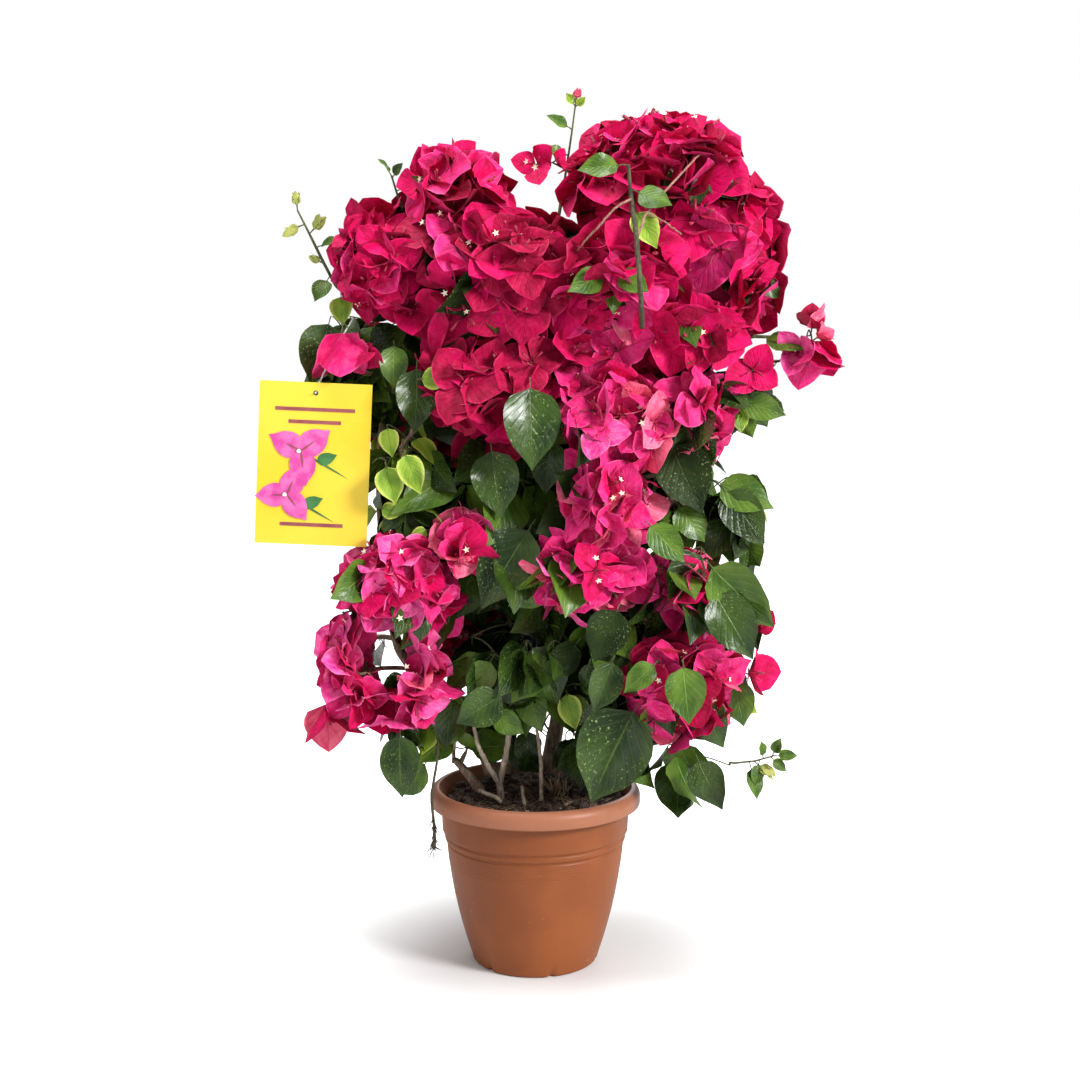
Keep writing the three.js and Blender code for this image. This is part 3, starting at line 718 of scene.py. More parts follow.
def pot_profile(rim, height):
    """The pot's outline from the middle of its underside, up the wall, over the rim and down inside."""
    under = height - RIM_DEPTH
    plain = np.arange(POT_FOOT, POT_RINGS[0], 0.006)
    detailed = np.arange(POT_RINGS[0], under, 0.0007)
    outer = [(wall_radius(z) + wall_relief(z), z) for z in np.concatenate([plain, detailed])]
    start = [(AXIS_GAP, 0), (POT_BASE - 0.02, 0), (POT_BASE - 0.006, 0)]
    corner = arc((wall_radius(POT_FOOT) - POT_FOOT, POT_FOOT), (POT_FOOT, POT_FOOT), -85, -8, 6)
    rolled = arc((rim - RIM_EDGE, under + RIM_EDGE), (RIM_EDGE, RIM_EDGE), -90, -10, 6)
    top = arc((rim - RIM_ROLL[0], height - RIM_ROLL[1]), RIM_ROLL, 0, 100, 14)
    mouth = arc((MOUTH + 0.001, height - 0.0045), (0.001, 0.0035), 120, 180, 4)
    inside = [(wall_radius(z) - POT_WALL, z) for z in np.linspace(INSIDE_FROM, POT_FLOOR, 24)]
    return np.array([*start, *corner, *outer, *rolled, *top, *mouth, *inside, (AXIS_GAP, POT_FLOOR)])


def make_pot():
    """The pot: its profile turned round, with the drain notches pressed into the foot."""
    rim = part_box("pot")[1]
    profile = pot_profile(rim.y, rim.z)
    turn = np.arange(POT_SEGMENTS) / POT_SEGMENTS * 2 * np.pi
    radius = np.repeat(profile[:, :1], POT_SEGMENTS, 1)
    height = np.repeat(profile[:, 1:], POT_SEGMENTS, 1)
    pitches = NOTCHES * (turn - math.pi / 2) - NOTCH_SHIFT * 2 * np.pi
    away = np.angle(np.exp(1j * pitches)) / NOTCHES
    dent = smooth_step(1 - np.abs(away) / NOTCH_HALF)[None] * smooth_step(1 - height / NOTCH_HEIGHT)
    outer = np.arange(len(profile))[:, None] < len(profile) // 2
    radius = radius - NOTCH_DEPTH * dent * outer * (radius > POT_BASE - 0.008)
    vertices = np.stack([radius * np.cos(turn), radius * np.sin(turn), height], 2).reshape(-1, 3)
    faces = grid_faces(len(profile), POT_SEGMENTS, closed=True).tolist()
    piece("pot_fine", vertices, faces, pot_look(), "pot_plastic", ["pot"])


def soil_height(x, y, level):
    """The soil's uneven top, higher round the stems."""
    place = Vector((x, y, 0.3))
    lumps = noise.fractal(place * 60, 1.0, 2.0, 4) * SOIL_LUMP
    crumbs = noise.fractal(place * 260, 0.9, 2.0, 3) * SOIL_LUMP * 0.35
    return level + lumps + crumbs - 0.002 * (math.hypot(x, y) / MOUTH) ** 2


def make_soil():
    """The soil's uneven top, its side against the pot and its underside."""
    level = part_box("soil")[1].z - 0.001
    turn = np.arange(SOIL_SEGMENTS) / SOIL_SEGMENTS * 2 * np.pi
    edge = wall_radius(level) - POT_WALL - 0.0002
    vertices = []
    for radius in np.linspace(0.0005, 1, SOIL_RINGS) * edge:
        for angle in turn:
            x, y = radius * math.cos(angle), radius * math.sin(angle)
            vertices.append((x, y, soil_height(x, y, level)))
    heights = (level - 0.012, 0.1, 0.05, SOIL_FOOT)
    skirt = [(wall_radius(z) - POT_WALL - 0.0008, z) for z in heights] + [(0.0005, SOIL_FOOT)]
    for radius, z in skirt:
        vertices.extend((radius * math.cos(angle), radius * math.sin(angle), z) for angle in turn)
    faces = grid_faces(SOIL_RINGS + len(skirt), SOIL_SEGMENTS, closed=True).tolist()
    piece("soil_fine", vertices, faces, soil_look("potting_soil", SOIL_BROWN), "soil", ["soil"])
    make_soil_bits(level)


def ball(detail=1):
    """The corners and faces of a small round ball, to be pushed out of shape."""
    bpy.ops.mesh.primitive_ico_sphere_add(subdivisions=detail, radius=1)
    made = bpy.context.object
    vertices = np.array([v.co for v in made.data.vertices])
    faces = [list(p.vertices) for p in made.data.polygons]
    bpy.data.objects.remove(made)
    return vertices, faces


def soil_spot(reach):
    """A random place on the soil, as far out as the reach."""
    radius = reach * math.sqrt(RNG.random())
    angle = RNG.random() * 2 * math.pi
    return radius * math.cos(angle), radius * math.sin(angle)


def root_fibre(level, reach):
    """The line of one fibre that curls over the soil."""
    spot = np.array(soil_spot(reach)) * 0.97
    heading = RNG.random() * 2 * math.pi
    bend = RNG.uniform(-2.2, 2.2)
    length = RNG.uniform(0.008, 0.03)
    line = []
    for step in np.linspace(0, 1, 7):
        way = heading + bend * step
        spot = spot + length / 6 * np.array([math.cos(way), math.sin(way)])
        spot = spot * min(1, reach / max(np.hypot(*spot), 1e-6))
        lift = 0.0007 + 0.003 * RNG.random() * math.sin(step * math.pi)
        line.append((*spot, soil_height(*spot, level) + lift))
    return line


def make_soil_bits(level):
    """Clods, pale chips and root fibres that lie on the soil."""
    clods, chips, fibres = Bundle(), Bundle(), Bundle()
    vertices, faces = ball(2)
    reach = wall_radius(level) - 0.009
    for index in range(CLODS):
        x, y = soil_spot(reach)
        pale = index % CHIP_EVERY == 0
        size = (0.0012 + 0.0022 * RNG.random()) if pale else (0.0016 + 0.0042 * RNG.random() ** 2)
        shift = Vector(RNG.random(3) * 50)
        swell = np.array([1 + 0.5 * noise.noise(Vector(v) * 1.6 + shift) for v in vertices])
        squash = np.array([1, RNG.uniform(0.6, 1), RNG.uniform(0.5, 0.85)])
        spot = np.array([x, y, soil_height(x, y, level) + 0.3 * size])
        (chips if pale else clods).add(vertices * swell[:, None] * size * squash + spot, faces)
    for _ in range(ROOT_FIBRES):
        fibres.tube(root_fibre(level, reach), np.linspace(0.00042, 0.0002, 7), sides=4)
    for bundle, name, shades in ((clods, "clod", SOIL_BROWN), (chips, "chip", CHIP), (fibres, "fibre", ROOT)):
        bundle.piece(f"soil_{name}s", soil_look("soil_" + name, shades, 500), "soil")


# ------------------------------------------------------------------ limbs


def centre_line(node, count):
    """The middle and the radius of a limb at each of many cuts along its longest side."""
    mesh = NODES[node].data
    vertices = np.array([v.co for v in mesh.vertices])
    edges = np.array([e.vertices for e in mesh.edges])
    axis = int(np.argmax(np.ptp(vertices, axis=0)))
    start, end = vertices[edges[:, 0]], vertices[edges[:, 1]]
    low, high = vertices[:, axis].min(), vertices[:, axis].max()
    inset = LIMB_INSET * (high - low)
    points, radii = [], []
    for level in np.linspace(low + inset, high - inset, count):
        over = (start[:, axis] - level) * (end[:, axis] - level) < 0
        if over.sum() < 3:
            continue
        a, b = start[over], end[over]
        share = (level - a[:, axis]) / (b[:, axis] - a[:, axis])
        cuts = a + (b - a) * share[:, None]
        middle = (cuts.min(0) + cuts.max(0)) / 2
        spread = np.delete(np.ptp(cuts, axis=0), axis)
        points.append(middle)
        radii.append(spread.min() / 2)
    points, radii = np.array(points), np.array(radii)
    for values in (points, points, radii, radii):
        soften(values)
    return points, radii


def make_stem(node, material):
    """A limb with its bark: low ridges along it, and knots where shoots have been."""
    low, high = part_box(node)
    points, radii = centre_line(node, LIMB_CUTS[0] if high.z - low.z > LONG_LIMB else LIMB_CUTS[1])
    points = np.concatenate([[points[0] - [0, 0, 0.003]], points])
    radii = np.concatenate([radii[:1] * 1.06, radii])
    ridges = np.empty((len(points), STEM_SIDES))
    seed = RNG.random() * 40
    for ring, point in enumerate(points):
        knot = max(0, noise.noise(Vector((0, seed, point[2] * 26)))) ** 2 * 0.5
        for side in range(STEM_SIDES):
            turn = side / STEM_SIDES * 2 * math.pi
            at = Vector((2.2 * math.cos(turn), 2.2 * math.sin(turn) + seed, point[2] * 22))
            ridges[ring, side] = 0.97 + 0.13 * noise.noise(at) + 0.06 * noise.noise(at * 3.1) + knot
    slot = "bark" if node.startswith("stem") else "green_shoot"
    piece(node + "_bark", *tube(points, radii, STEM_SIDES, ridges), material, slot, [node])
    return points, radii


# ------------------------------------------------------------------ places on the masses


class Mass:
    """One CAD mass, with quick tests of where its skin and its inside are."""

    def __init__(self, name):
        mesh = NODES[name].data
        self.name = name
        self.vertices = np.array([v.co for v in mesh.vertices])
        self.low, self.high = self.vertices.min(0), self.vertices.max(0)
        mesh.calc_loop_triangles()
        self.triangles = np.array([t.vertices for t in mesh.loop_triangles])
        corners = self.vertices[self.triangles]
        across = np.cross(corners[:, 1] - corners[:, 0], corners[:, 2] - corners[:, 0])
        self.areas = np.linalg.norm(across, axis=1) / 2
        self.tree = BVHTree.FromPolygons(self.vertices.tolist(), self.triangles.tolist())

    def holds(self, point, margin=0.0):
        """Whether the point is inside, by more than the margin."""
        if np.any(point < self.low) or np.any(point > self.high):
            return False
        nearest, normal, _, distance = self.tree.find_nearest(Vector(point))
        return distance > margin and (Vector(point) - nearest).dot(normal) < 0

    def skin(self, count):
        """Random places all over the surface, with the outward normal there."""
        chosen = RNG.choice(len(self.areas), count, p=self.areas / self.areas.sum())
        a, b = np.sqrt(RNG.random(count)), RNG.random(count)
        weights = np.stack([1 - a, a * (1 - b), a * b], 1)
        corners = self.vertices[self.triangles[chosen]]
        places = (corners * weights[:, :, None]).sum(1)
        across = np.cross(corners[:, 1] - corners[:, 0], corners[:, 2] - corners[:, 0])
        return places, unit(across)


MASSES = [Mass(name) for name in NODES if name.startswith(("bloom_", "foliage_"))]


def exposed(place, normal, reach):
    """Whether a place on the skin looks out into the open and not into another mass."""
    ahead = place + normal * reach
    return not any(mass.holds(ahead) for mass in MASSES)


def spread_sites(masses, scale=1.0):
    """Places over the crown's skin, each with its mass, no two nearer than the mass's spacing."""
    sites = []
    taken = np.empty((0, 3))
    for mass in masses:
        spacing = style_of(mass.name)["spacing"] * scale
        tries = int(SKIN_TRIES * mass.areas.sum() / spacing**2)
        for place, normal in zip(*mass.skin(tries)):
            if len(taken) and np.min(((taken - place) ** 2).sum(1)) < (NEAREST * spacing) ** 2:
                continue
            if not exposed(place, normal, OPEN_AHEAD):
                continue
            sites.append((mass, place, normal))
            taken = np.concatenate([taken, place[None]])
    return sites


def inner_sites():
    """Places well inside the crown for its shaded leaves, each with its way outwards."""
    sites = []
    taken = np.empty((0, 3))
    for mass in MASSES:
        tries = int(INNER_TRIES * mass.areas.sum() / INNER["spacing"] ** 2)
        for place, normal in zip(*mass.skin(tries)):
            deep = place - normal * RNG.uniform(*INNER["depth"])
            if len(taken) and np.min(((taken - deep) ** 2).sum(1)) < INNER["spacing"] ** 2:
                continue
            if not any(other.holds(deep, INNER_MARGIN) for other in MASSES):
                continue
            sites.append((deep, normal))
            taken = np.concatenate([taken, deep[None]])
    return sites


# ------------------------------------------------------------------ blades: leaves and bracts


def leaf_outline(along):
    """A leaf's half-width along it: egg-shaped, widest near a third, and drawn out to a point."""
    drawn_out = 1 - 0.45 * smooth_step((along - 0.68) / 0.3)
    return 0.012 + 0.988 * np.sin(np.pi * along**0.68) ** 0.78 * drawn_out


def bract_outline(along):
    """A bract's half-width: broad and heart-like, coming to a point."""
    pointed = 1 - 0.2 * smooth_step((along - 0.7) / 0.3)
    return 0.02 + 0.98 * np.sin(np.pi * along**0.62) ** 0.58 * pointed


OUTLINES = {"leaf": leaf_outline, "bract": bract_outline}


class Blades:
    """Gathers the leaves or bracts of one colour and makes them one piece."""

    def __init__(self, form):
        self.form = form
        self.rows = []

    def shapes(self):
        """The corners of every blade: blades x rows x columns x 3."""
        table = np.array(self.rows)
        base, heading, face = table[:, 0:3], unit(table[:, 3:6]), table[:, 6:9]
        length, width, droop, fold, cup, wave, twist = table[:, 9:].T[:, :, None, None]
        count = len(table)
        rows, columns = BLADE_ROWS[self.form], BLADE_COLUMNS
        along = np.linspace(0, 1, rows + 1)
        across = np.linspace(-1, 1, columns + 1)
        half = OUTLINES[self.form](np.clip(along, 1e-4, 1 - 1e-4))
        angle = droop[:, :, 0] * along[None] ** 1.4
        step = length[:, :, 0] / rows
        run = np.cumsum(np.cos(angle), 1) * step - np.cos(angle) * step
        fall = -(np.cumsum(np.sin(angle), 1) * step - np.sin(angle) * step)
        side = across[None, None] * half[None, :, None]
        x = side * width / 2
        phase = RNG.random((count, 1, 1)) * 2 * np.pi
        second = RNG.random((count, 1, 1)) * 2 * np.pi
        beat = RNG.uniform(1.3, 2.4, (count, 1, 1))
        t = along[None, :, None]
        frill = np.sin(2 * np.pi * beat * t + phase + np.sign(across)[None, None] * second)
        crease = RNG.normal(0, 1, (count, 1, 1)) * 0.05 * width * np.sin(5 * t + second) * side
        z = fold * np.abs(x) + cup * side**2 * width + wave * width * side**2 * frill + crease
        turned = twist * t
        x, z = x * np.cos(turned) - z * np.sin(turned), x * np.sin(turned) + z * np.cos(turned)
        y = run[:, :, None] + z * np.sin(angle)[:, :, None]
        z = fall[:, :, None] + z * np.cos(angle)[:, :, None]
        face = unit(face - heading * (face * heading).sum(1, keepdims=True))
        right = np.cross(heading, face)
        parts = zip((x, y, z), (right, heading, face))
        placed = sum(part[..., None] * way[:, None, None] for part, way in parts)
        return base[:, None, None] + placed

    def piece(self, name, material, slot, replaces, clear):
        """Makes the piece, leaving out the blades that would pass through what the test keeps clear."""
        shapes = self.shapes()
        shapes = shapes[[clear(shape.reshape(-1, 3)) for shape in shapes]]
        count, rows, columns = shapes.shape[:3]
        faces = grid_faces(rows, columns)[None] + (np.arange(count) * rows * columns)[:, None, None]
        u, v = np.meshgrid(np.linspace(0, 1, columns), np.linspace(0, 1, rows))
        blade = np.stack([u, v], 2).reshape(1, -1, 2)
        cell = RNG.integers(0, CELLS, (count, 1, 2)) / CELLS
        patch = cell + CELL_MARGIN + blade * (1 / CELLS - 2 * CELL_MARGIN)
        every = np.repeat(blade, count, 0).reshape(-1, 2)
        patch = patch.reshape(-1, 2)
        maps = {"Blade": every, "Cell": patch, "OFBake": patch}
        piece(name, shapes.reshape(-1, 3), faces.reshape(-1, 4).tolist(), material, slot, replaces, maps)


UP = np.array([0, 0, 1.0])
BACK_SEEN = 0.3  # a bract that faces outwards less than this shows its back
BUD_OPEN = 9  # degrees
BUD_WIDTH = 0.66  # how much narrower a bud's bracts are
OPENING = (56, 94)  # how far a bloom's bracts open from its axis, in degrees
STAR_SHARE = 0.3  # blooms whose flowers are open
STAR_POINTS = 10  # the corners of a star, outer and inner by turns
BLADES = {kind: Blades("bract") for kind in BRACTS} | {kind: Blades("leaf") for kind in LEAVES}
STALKS, TUBES, STARS = Bundle(), Bundle(), Bundle()


def choice(shares):
    """One of the names, drawn by its share."""
    names = list(shares)
    weights = np.array([shares[name] for name in names])
    return names[RNG.choice(len(names), p=weights / weights.sum())]


def perpendicular(axis):
    """Two directions square to an axis and to each other."""
    guide = np.array([0, 0, 1.0]) if abs(axis[2]) < 0.9 else np.array([1.0, 0, 0])
    first = unit(np.cross(axis, guide))
    return first, np.cross(axis, first)


def add_blade(base, blade):
    """Puts a blade on its base, with the others of its kind."""
    shape = [blade[part] for part in BLADE_PARTS]
    row = (*(base + blade["offset"]), *blade["heading"], *blade["face"], *shape)
    BLADES[blade["kind"]].rows.append(row)


def leaf_blade(kind, heading, face, length, droop=None, stalk=0.2):
    """One leaf, as it will hang from the place where its stalk starts."""
    heading = unit(np.asarray(heading, float))
    return {
        "kind": kind,
        "offset": heading * length * stalk,
        "heading": heading,
        "face": unit(np.asarray(face, float)),
        "length": length,
        "width": length * RNG.uniform(0.6, 0.78),
        "fold": RNG.uniform(0.02, 0.3),
        "droop": RNG.uniform(0.2, 0.85) if droop is None else droop,
        "cup": RNG.uniform(-0.05, 0.08),
        "wave": RNG.uniform(0.02, 0.08),
        "twist": RNG.normal(0, 0.22),
    }


def add_leaf(base, leaf):
    """A leaf and its stalk. The stalk starts at the base and the blade carries on from its end."""
    foot = base + leaf["offset"]
    middle = (base + foot) / 2 + UP * 0.12 * np.linalg.norm(leaf["offset"])
    STALKS.tube([base, middle, foot + leaf["heading"] * 0.002], [0.0007, 0.0006, 0.0005], sides=4)
    add_blade(base, leaf)


def add_flower(base, axis, size, open_star):
    """The slender tube inside a bract, with the small cream star at its mouth when it is open."""
    first, second = perpendicular(axis)
    lean = RNG.normal(0, 0.1, 2)
    line = [base, base + axis * size * 0.5, base + (axis + first * lean[0] + second * lean[1]) * size]
    TUBES.tube(line, np.array([0.00075, 0.0011, 0.0014]) * size / 0.018, sides=4)
    if not open_star:
        return
    centre = line[-1] + axis * 0.0006
    turn = np.arange(STAR_POINTS) / STAR_POINTS * 2 * np.pi
    inner = np.arange(STAR_POINTS) % 2
    reach = np.where(inner, 0.0016, 0.0036)[:, None]
    lobes = centre + (first * np.cos(turn)[:, None] + second * np.sin(turn)[:, None]) * reach
    lobes = lobes + axis * np.where(inner, 0.0, 0.0007)[:, None]
    faces = [[0, k + 1, (k + 1) % STAR_POINTS + 1] for k in range(STAR_POINTS)]
    STARS.add(np.concatenate([centre[None] - axis * 0.0004, lobes]), faces)


def bloom_blades(kind, axis, size, opening, outward):
    """Three bracts opened by so many degrees from the bloom's axis. One that shows its back is paler."""
    first, second = perpendicular(axis)
    roll = RNG.random() * 2 * np.pi
    bracts = []
    for k in range(3):
        turn = roll + k * 2 * np.pi / 3 + RNG.normal(0, 0.16)
        out = first * math.cos(turn) + second * math.sin(turn)
        opened = math.radians(opening + RNG.normal(0, 10))
        face = axis * math.sin(opened) - out * math.cos(opened)
        length = size * RNG.uniform(0.88, 1.12)
        back = kind != "lime" and face @ outward < BACK_SEEN and RNG.random() < 0.6
        narrow = BUD_WIDTH if kind == "lime" else 1
        bracts.append({
            "kind": "rose" if back else kind,
            "offset": out * 0.0012,
            "face": face,
            "out": out,
            "opened": opened,
            "heading": axis * math.cos(opened) + out * math.sin(opened),
            "length": length,
            "width": length * RNG.uniform(0.9, 1.12) * narrow,
            "droop": RNG.uniform(-0.2, 0.5),
            "fold": RNG.uniform(-0.03, 0.12),
            "cup": RNG.uniform(-0.06, 0.12),
            "wave": RNG.uniform(0.03, 0.1),
            "twist": RNG.normal(0, 0.16),
        })
    return bracts


def add_bloom(centre, axis, size, bracts):
    """The three bracts round their three flowers."""
    star = RNG.random() < STAR_SHARE
    for k, bract in enumerate(bracts):
        add_blade(centre, bract)
        half = bract["opened"] * 0.45
        lean = unit(axis * math.cos(half) + bract["out"] * math.sin(half))
        add_flower(centre + bract["out"] * 0.001, lean, size * RNG.uniform(0.34, 0.46), star and k < 2)


# ------------------------------------------------------------------ growth


LOWS = np.array([mass.low for mass in MASSES])
HIGHS = np.array([mass.high for mass in MASSES])


def outside(point):
    """How far a point stands clear of every mass, below nothing when it is inside one."""
    least = FAR_OUT
    near = np.all((LOWS < point + FAR_OUT) & (HIGHS > point - FAR_OUT), axis=1)
    for index in np.flatnonzero(near):
        nearest, normal, _, distance = MASSES[index].tree.find_nearest(Vector(point))
        least = min(least, distance if (Vector(point) - nearest).dot(normal) > 0 else -distance)
    return least


def in_gap(place):
    """Whether a place is in, or at the very edge of, a gap where the sky shows."""
    away = [math.hypot((place[0] - x) / wide, (place[2] - z) / tall) for x, z, wide, tall in GAPS]
    return min(away) < GAP_EDGE


def blade_reach(blade):
    """The places on a blade that stand out furthest from its base: its tip and its two sides."""
    fall = blade["face"] * blade["droop"] / 2.4
    tip = (blade["heading"] * (1 - blade["droop"] ** 2 / 8) - fall) * blade["length"]
    side = np.cross(blade["heading"], blade["face"]) * blade["width"] * 0.45
    return [blade["offset"] + place for place in (tip, 0.55 * tip + side, 0.55 * tip - side)]


def settle(base, inward, blades, proud):
    """Draws a spray inwards until its blades are inside the masses, or gives it up."""
    reaches = [reach for blade in blades for reach in blade_reach(blade)]
    for _ in range(SETTLE_TRIES):
        over = max(outside(base + reach) for reach in reaches) - proud
        if over <= 0:
            return None if in_gap(base) else base
        base = base + inward * min(over, SETTLE_STEP)
    return base if over < GIVEN_UP - proud and not in_gap(base) else None


def dress_site(mass, place, normal, depth=0.0):
    """One spray at the skin of a mass, or a depth below it. Returns the tip of its twig."""
    look = style_of(mass.name)
    outward = unit(normal + 0.12 * RNG.normal(size=3))
    if RNG.random() < look["bloom"]:
        size = look["bract"] * RNG.uniform(0.82, 1.16)
        opening = RNG.uniform(*OPENING)
        axis = unit(outward + 0.26 * RNG.normal(size=3) + 0.16 * UP)
        # the layer under the skin takes darker bracts where the mass has red: painted shade
        kind = choice(UNDER_BRACTS_PAINTED_SHADE if depth and "red" in look["bracts"] else look["bracts"])
        bracts = bloom_blades(kind, axis, size, opening, outward)
        below = size * math.cos(math.radians(opening)) * 0.85 + RNG.uniform(0.0, 0.01) + depth
        centre = settle(place - normal * below, -normal, bracts, PROUD[int(RNG.random() < PROUD_SHARE)])
        if centre is not None:
            add_bloom(centre, axis, size, bracts)
        return centre
    kind = choice(look["leaves"])
    base = place - normal * (RNG.uniform(0.012, 0.026) + depth)
    first, second = perpendicular(outward)
    start = RNG.random() * 2 * np.pi
    leaves = []
    for k in range(3):
        turn = start + k * 2.4
        aside = first * math.cos(turn) + second * math.sin(turn)
        heading = unit(0.25 * outward + 0.7 * aside - 0.85 * UP + 0.12 * RNG.normal(size=3))
        face = unit(outward + 0.4 * UP + 0.25 * RNG.normal(size=3))
        length = look["leaf"] * RNG.uniform(0.7, 1.2)
        leaves.append(leaf_blade(kind, heading, face, length))
        leaves[-1]["offset"] -= outward * 0.007 * k
    base = settle(base, unit(UP * 0.5 - normal), leaves, PROUD[int(RNG.random() < PROUD_SHARE)])
    if base is not None:
        for leaf in leaves:
            add_leaf(base, leaf)
    return base


def dress_inner(place, normal):
    """A few leaves inside the crown, coloured near black as painted shade."""
    leaves = []
    for _ in range(3):
        heading = unit(RNG.normal(size=3) * [1, 1, 0.5] - 0.5 * UP + 0.4 * normal)
        face = unit(normal + 0.6 * UP + 0.5 * RNG.normal(size=3))
        leaves.append(leaf_blade("deep", heading, face, INNER["leaf"] * RNG.uniform(0.8, 1.2)))
    place = settle(place, -normal, leaves, -DEEP_COVER)
    if place is not None:
        for leaf in leaves:
            add_leaf(place, leaf)
    return place


def dress_shoots(limbs):
    """The leaves and buds on the shoots that stand clear of the crown."""
    for node, share, kind, size, heading in SHOOT_DRESS:
        points = limbs[node][0]
        base = points[round(share * (len(points) - 1))]
        heading = unit(np.array(heading, float))
        if kind in LEAVES:
            face = np.array([0.1, -1.0, 0.7]) + 0.3 * RNG.normal(size=3)
            add_leaf(base, leaf_blade(kind, heading, face, size, droop=0.4, stalk=0.25))
            continue
        bud = base + heading * size * 0.4
        add_bloom(bud, heading, size * 0.3, bloom_blades(kind, heading, size, BUD_OPEN, -UP))
        STALKS.tube([base, (base + bud) / 2, bud], [0.0007, 0.0007, 0.0009], sides=4)


def dress_singles(rows):
    """The blooms placed one by one, each on its own stalk. Returns the feet of their stalks."""
    feet = []
    for node, across, back, up, kind, size, opening, axis in rows:
        low, high = (np.array(corner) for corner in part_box(node))
        centre = low + (high - low) * [across, back, up]
        axis = unit(np.array(axis, float))
        add_bloom(centre, axis, size, bloom_blades(kind, axis, size, opening, axis))
        foot = centre - axis * size * 0.3
        STALKS.tube([foot, (foot + centre) / 2 + 0.001, centre], [0.0008, 0.0007, 0.0009], sides=4)
        feet.append(foot)
    return feet


def dress_fills():
    """Leaves and blooms between the masses. Returns where they start."""
    starts = []
    for place, kind, count, spread in FILLS:
        for _ in range(count):
            base = np.array(place) + spread * RNG.uniform(-1, 1, 3) * [1, 0.7, 0.8]
            axis = unit(np.array([0.0, -1.0, 0.25]) + 0.35 * RNG.normal(size=3))
            starts.append(base)
            if kind in BRACTS:
                size = RNG.uniform(*FILL_BRACT)
                add_bloom(base, axis, size, bloom_blades(kind, axis, size, RNG.uniform(60, 88), axis))
                continue
            heading = unit(RNG.normal(size=3) * [1, 0.4, 0.5] - 0.7 * UP)
            add_leaf(base, leaf_blade(kind, heading, axis, RNG.uniform(*FILL_LEAF)))
    return starts


def front_of_masses(x, z):
    """Where a level line of sight from in front first meets a mass, or nothing."""
    start = Vector((x, CAD_BOX[0].y - 0.1, z))
    hits = [mass.tree.ray_cast(start, Vector((0, 1, 0)))[0] for mass in MASSES]
    hits = [hit for hit in hits if hit is not None]
    return np.array(min(hits, key=lambda hit: hit.y)) if hits else None


def dress_front():
    """The large leaves that hang in front. Returns where their stalks start."""
    starts = []
    for node, across, up, kind, length, swing in FRONT_LEAVES:
        low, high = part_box(node)
        place = front_of_masses(low.x + across * (high.x - low.x), low.z + up * (high.z - low.z))
        if place is None:
            continue
        turn = math.radians(swing)
        heading = np.array([math.sin(turn), -0.22, -math.cos(turn)])
        face = np.array([RNG.normal(0, 0.18), -1.0, RNG.uniform(0.0, 0.5)])
        base = place - np.array([0, FRONT_PROUD, 0]) - unit(heading) * length * 0.12
        leaf = leaf_blade(kind, heading, face, length, droop=RNG.uniform(0.15, 0.5), stalk=0.14)
        add_leaf(base, leaf)
        starts.append(base + np.array([0, 0.012, 0.0]))
    return starts


TWIG_JOINTS = (0.36, 0.7, 1.0)  # the shares of a twig's way where others may branch from it
TWIG_BEND = 0.07  # how far a twig bends aside and arches up, as shares of its length
TWIG_ARCH = 0.06
TWIG_RINGS = 7
TWIG_RADII = (0.0007, 0.0028)  # a twig's radius with one tip, and the greatest
LOAD_POWER = 0.42  # how the radius grows with the number of tips that a twig carries
WOODY_LOAD = 3  # a twig with more tips than this is brown
FROM_ABOVE = 0.5  # what each metre costs that a twig would have to grow down


def join_tips(tips, stems):
    """Joins each tip to the cheapest place already grown. Returns all the places and each twig's way."""
    used = len(stems)
    places = np.empty((used + len(TWIG_JOINTS) * len(tips), 3))
    places[:used] = stems
    nearest = [np.min(((stems - tip) ** 2).sum(1)) for tip in tips]
    paths = []
    for index in np.argsort(nearest):
        tip = tips[index]
        gap = places[:used] - tip
        cost = np.linalg.norm(gap, axis=1) + FROM_ABOVE * np.maximum(0, gap[:, 2] + 0.004)
        origin = int(np.argmin(cost))
        span = tip - places[origin]
        length = np.linalg.norm(span)
        bend = unit(RNG.normal(size=3)) * TWIG_BEND * length + UP * TWIG_ARCH * length
        for step, share in enumerate(TWIG_JOINTS):
            places[used + step] = places[origin] + span * share + bend * math.sin(share * math.pi)
        paths.append([origin, *range(used, used + len(TWIG_JOINTS))])
        used += len(TWIG_JOINTS)
    return places, paths


def tips_carried(count, paths):
    """How many tips each place carries, counted back from the last twig grown."""
    load = np.zeros(count)
    for chain in reversed(paths):
        load[chain[-1]] += 1
        for child, above in zip(chain[:0:-1], chain[-2::-1]):
            load[above] += load[child]
    return load


def grow_twigs(tips, limbs):
    """The twigs that branch on from the stems to every tip, thicker where they carry more."""
    stems = np.concatenate([points for node, (points, _) in limbs.items() if node.startswith("stem_")])
    places, paths = join_tips(tips, stems)
    load = tips_carried(len(places), paths)
    brown, green = Bundle(), Bundle()
    fine = np.linspace(0, 3, TWIG_RINGS)
    for chain in paths:
        radii = np.minimum(TWIG_RADII[0] * np.maximum(load[chain], 1) ** LOAD_POWER, TWIG_RADII[1])
        radii[0] = radii[1]
        bundle = brown if load[chain[1]] > WOODY_LOAD else green
        bundle.tube(fine_line(places[chain], TWIG_RINGS), np.interp(fine, range(4), radii), sides=5)
    return brown, green


def uneven_line(route, count, jitter):
    """A fine line along a route, a little uneven between its ends."""
    line = fine_line(route, count)
    line[1:-1] += RNG.normal(0, jitter, line[1:-1].shape)
    return line


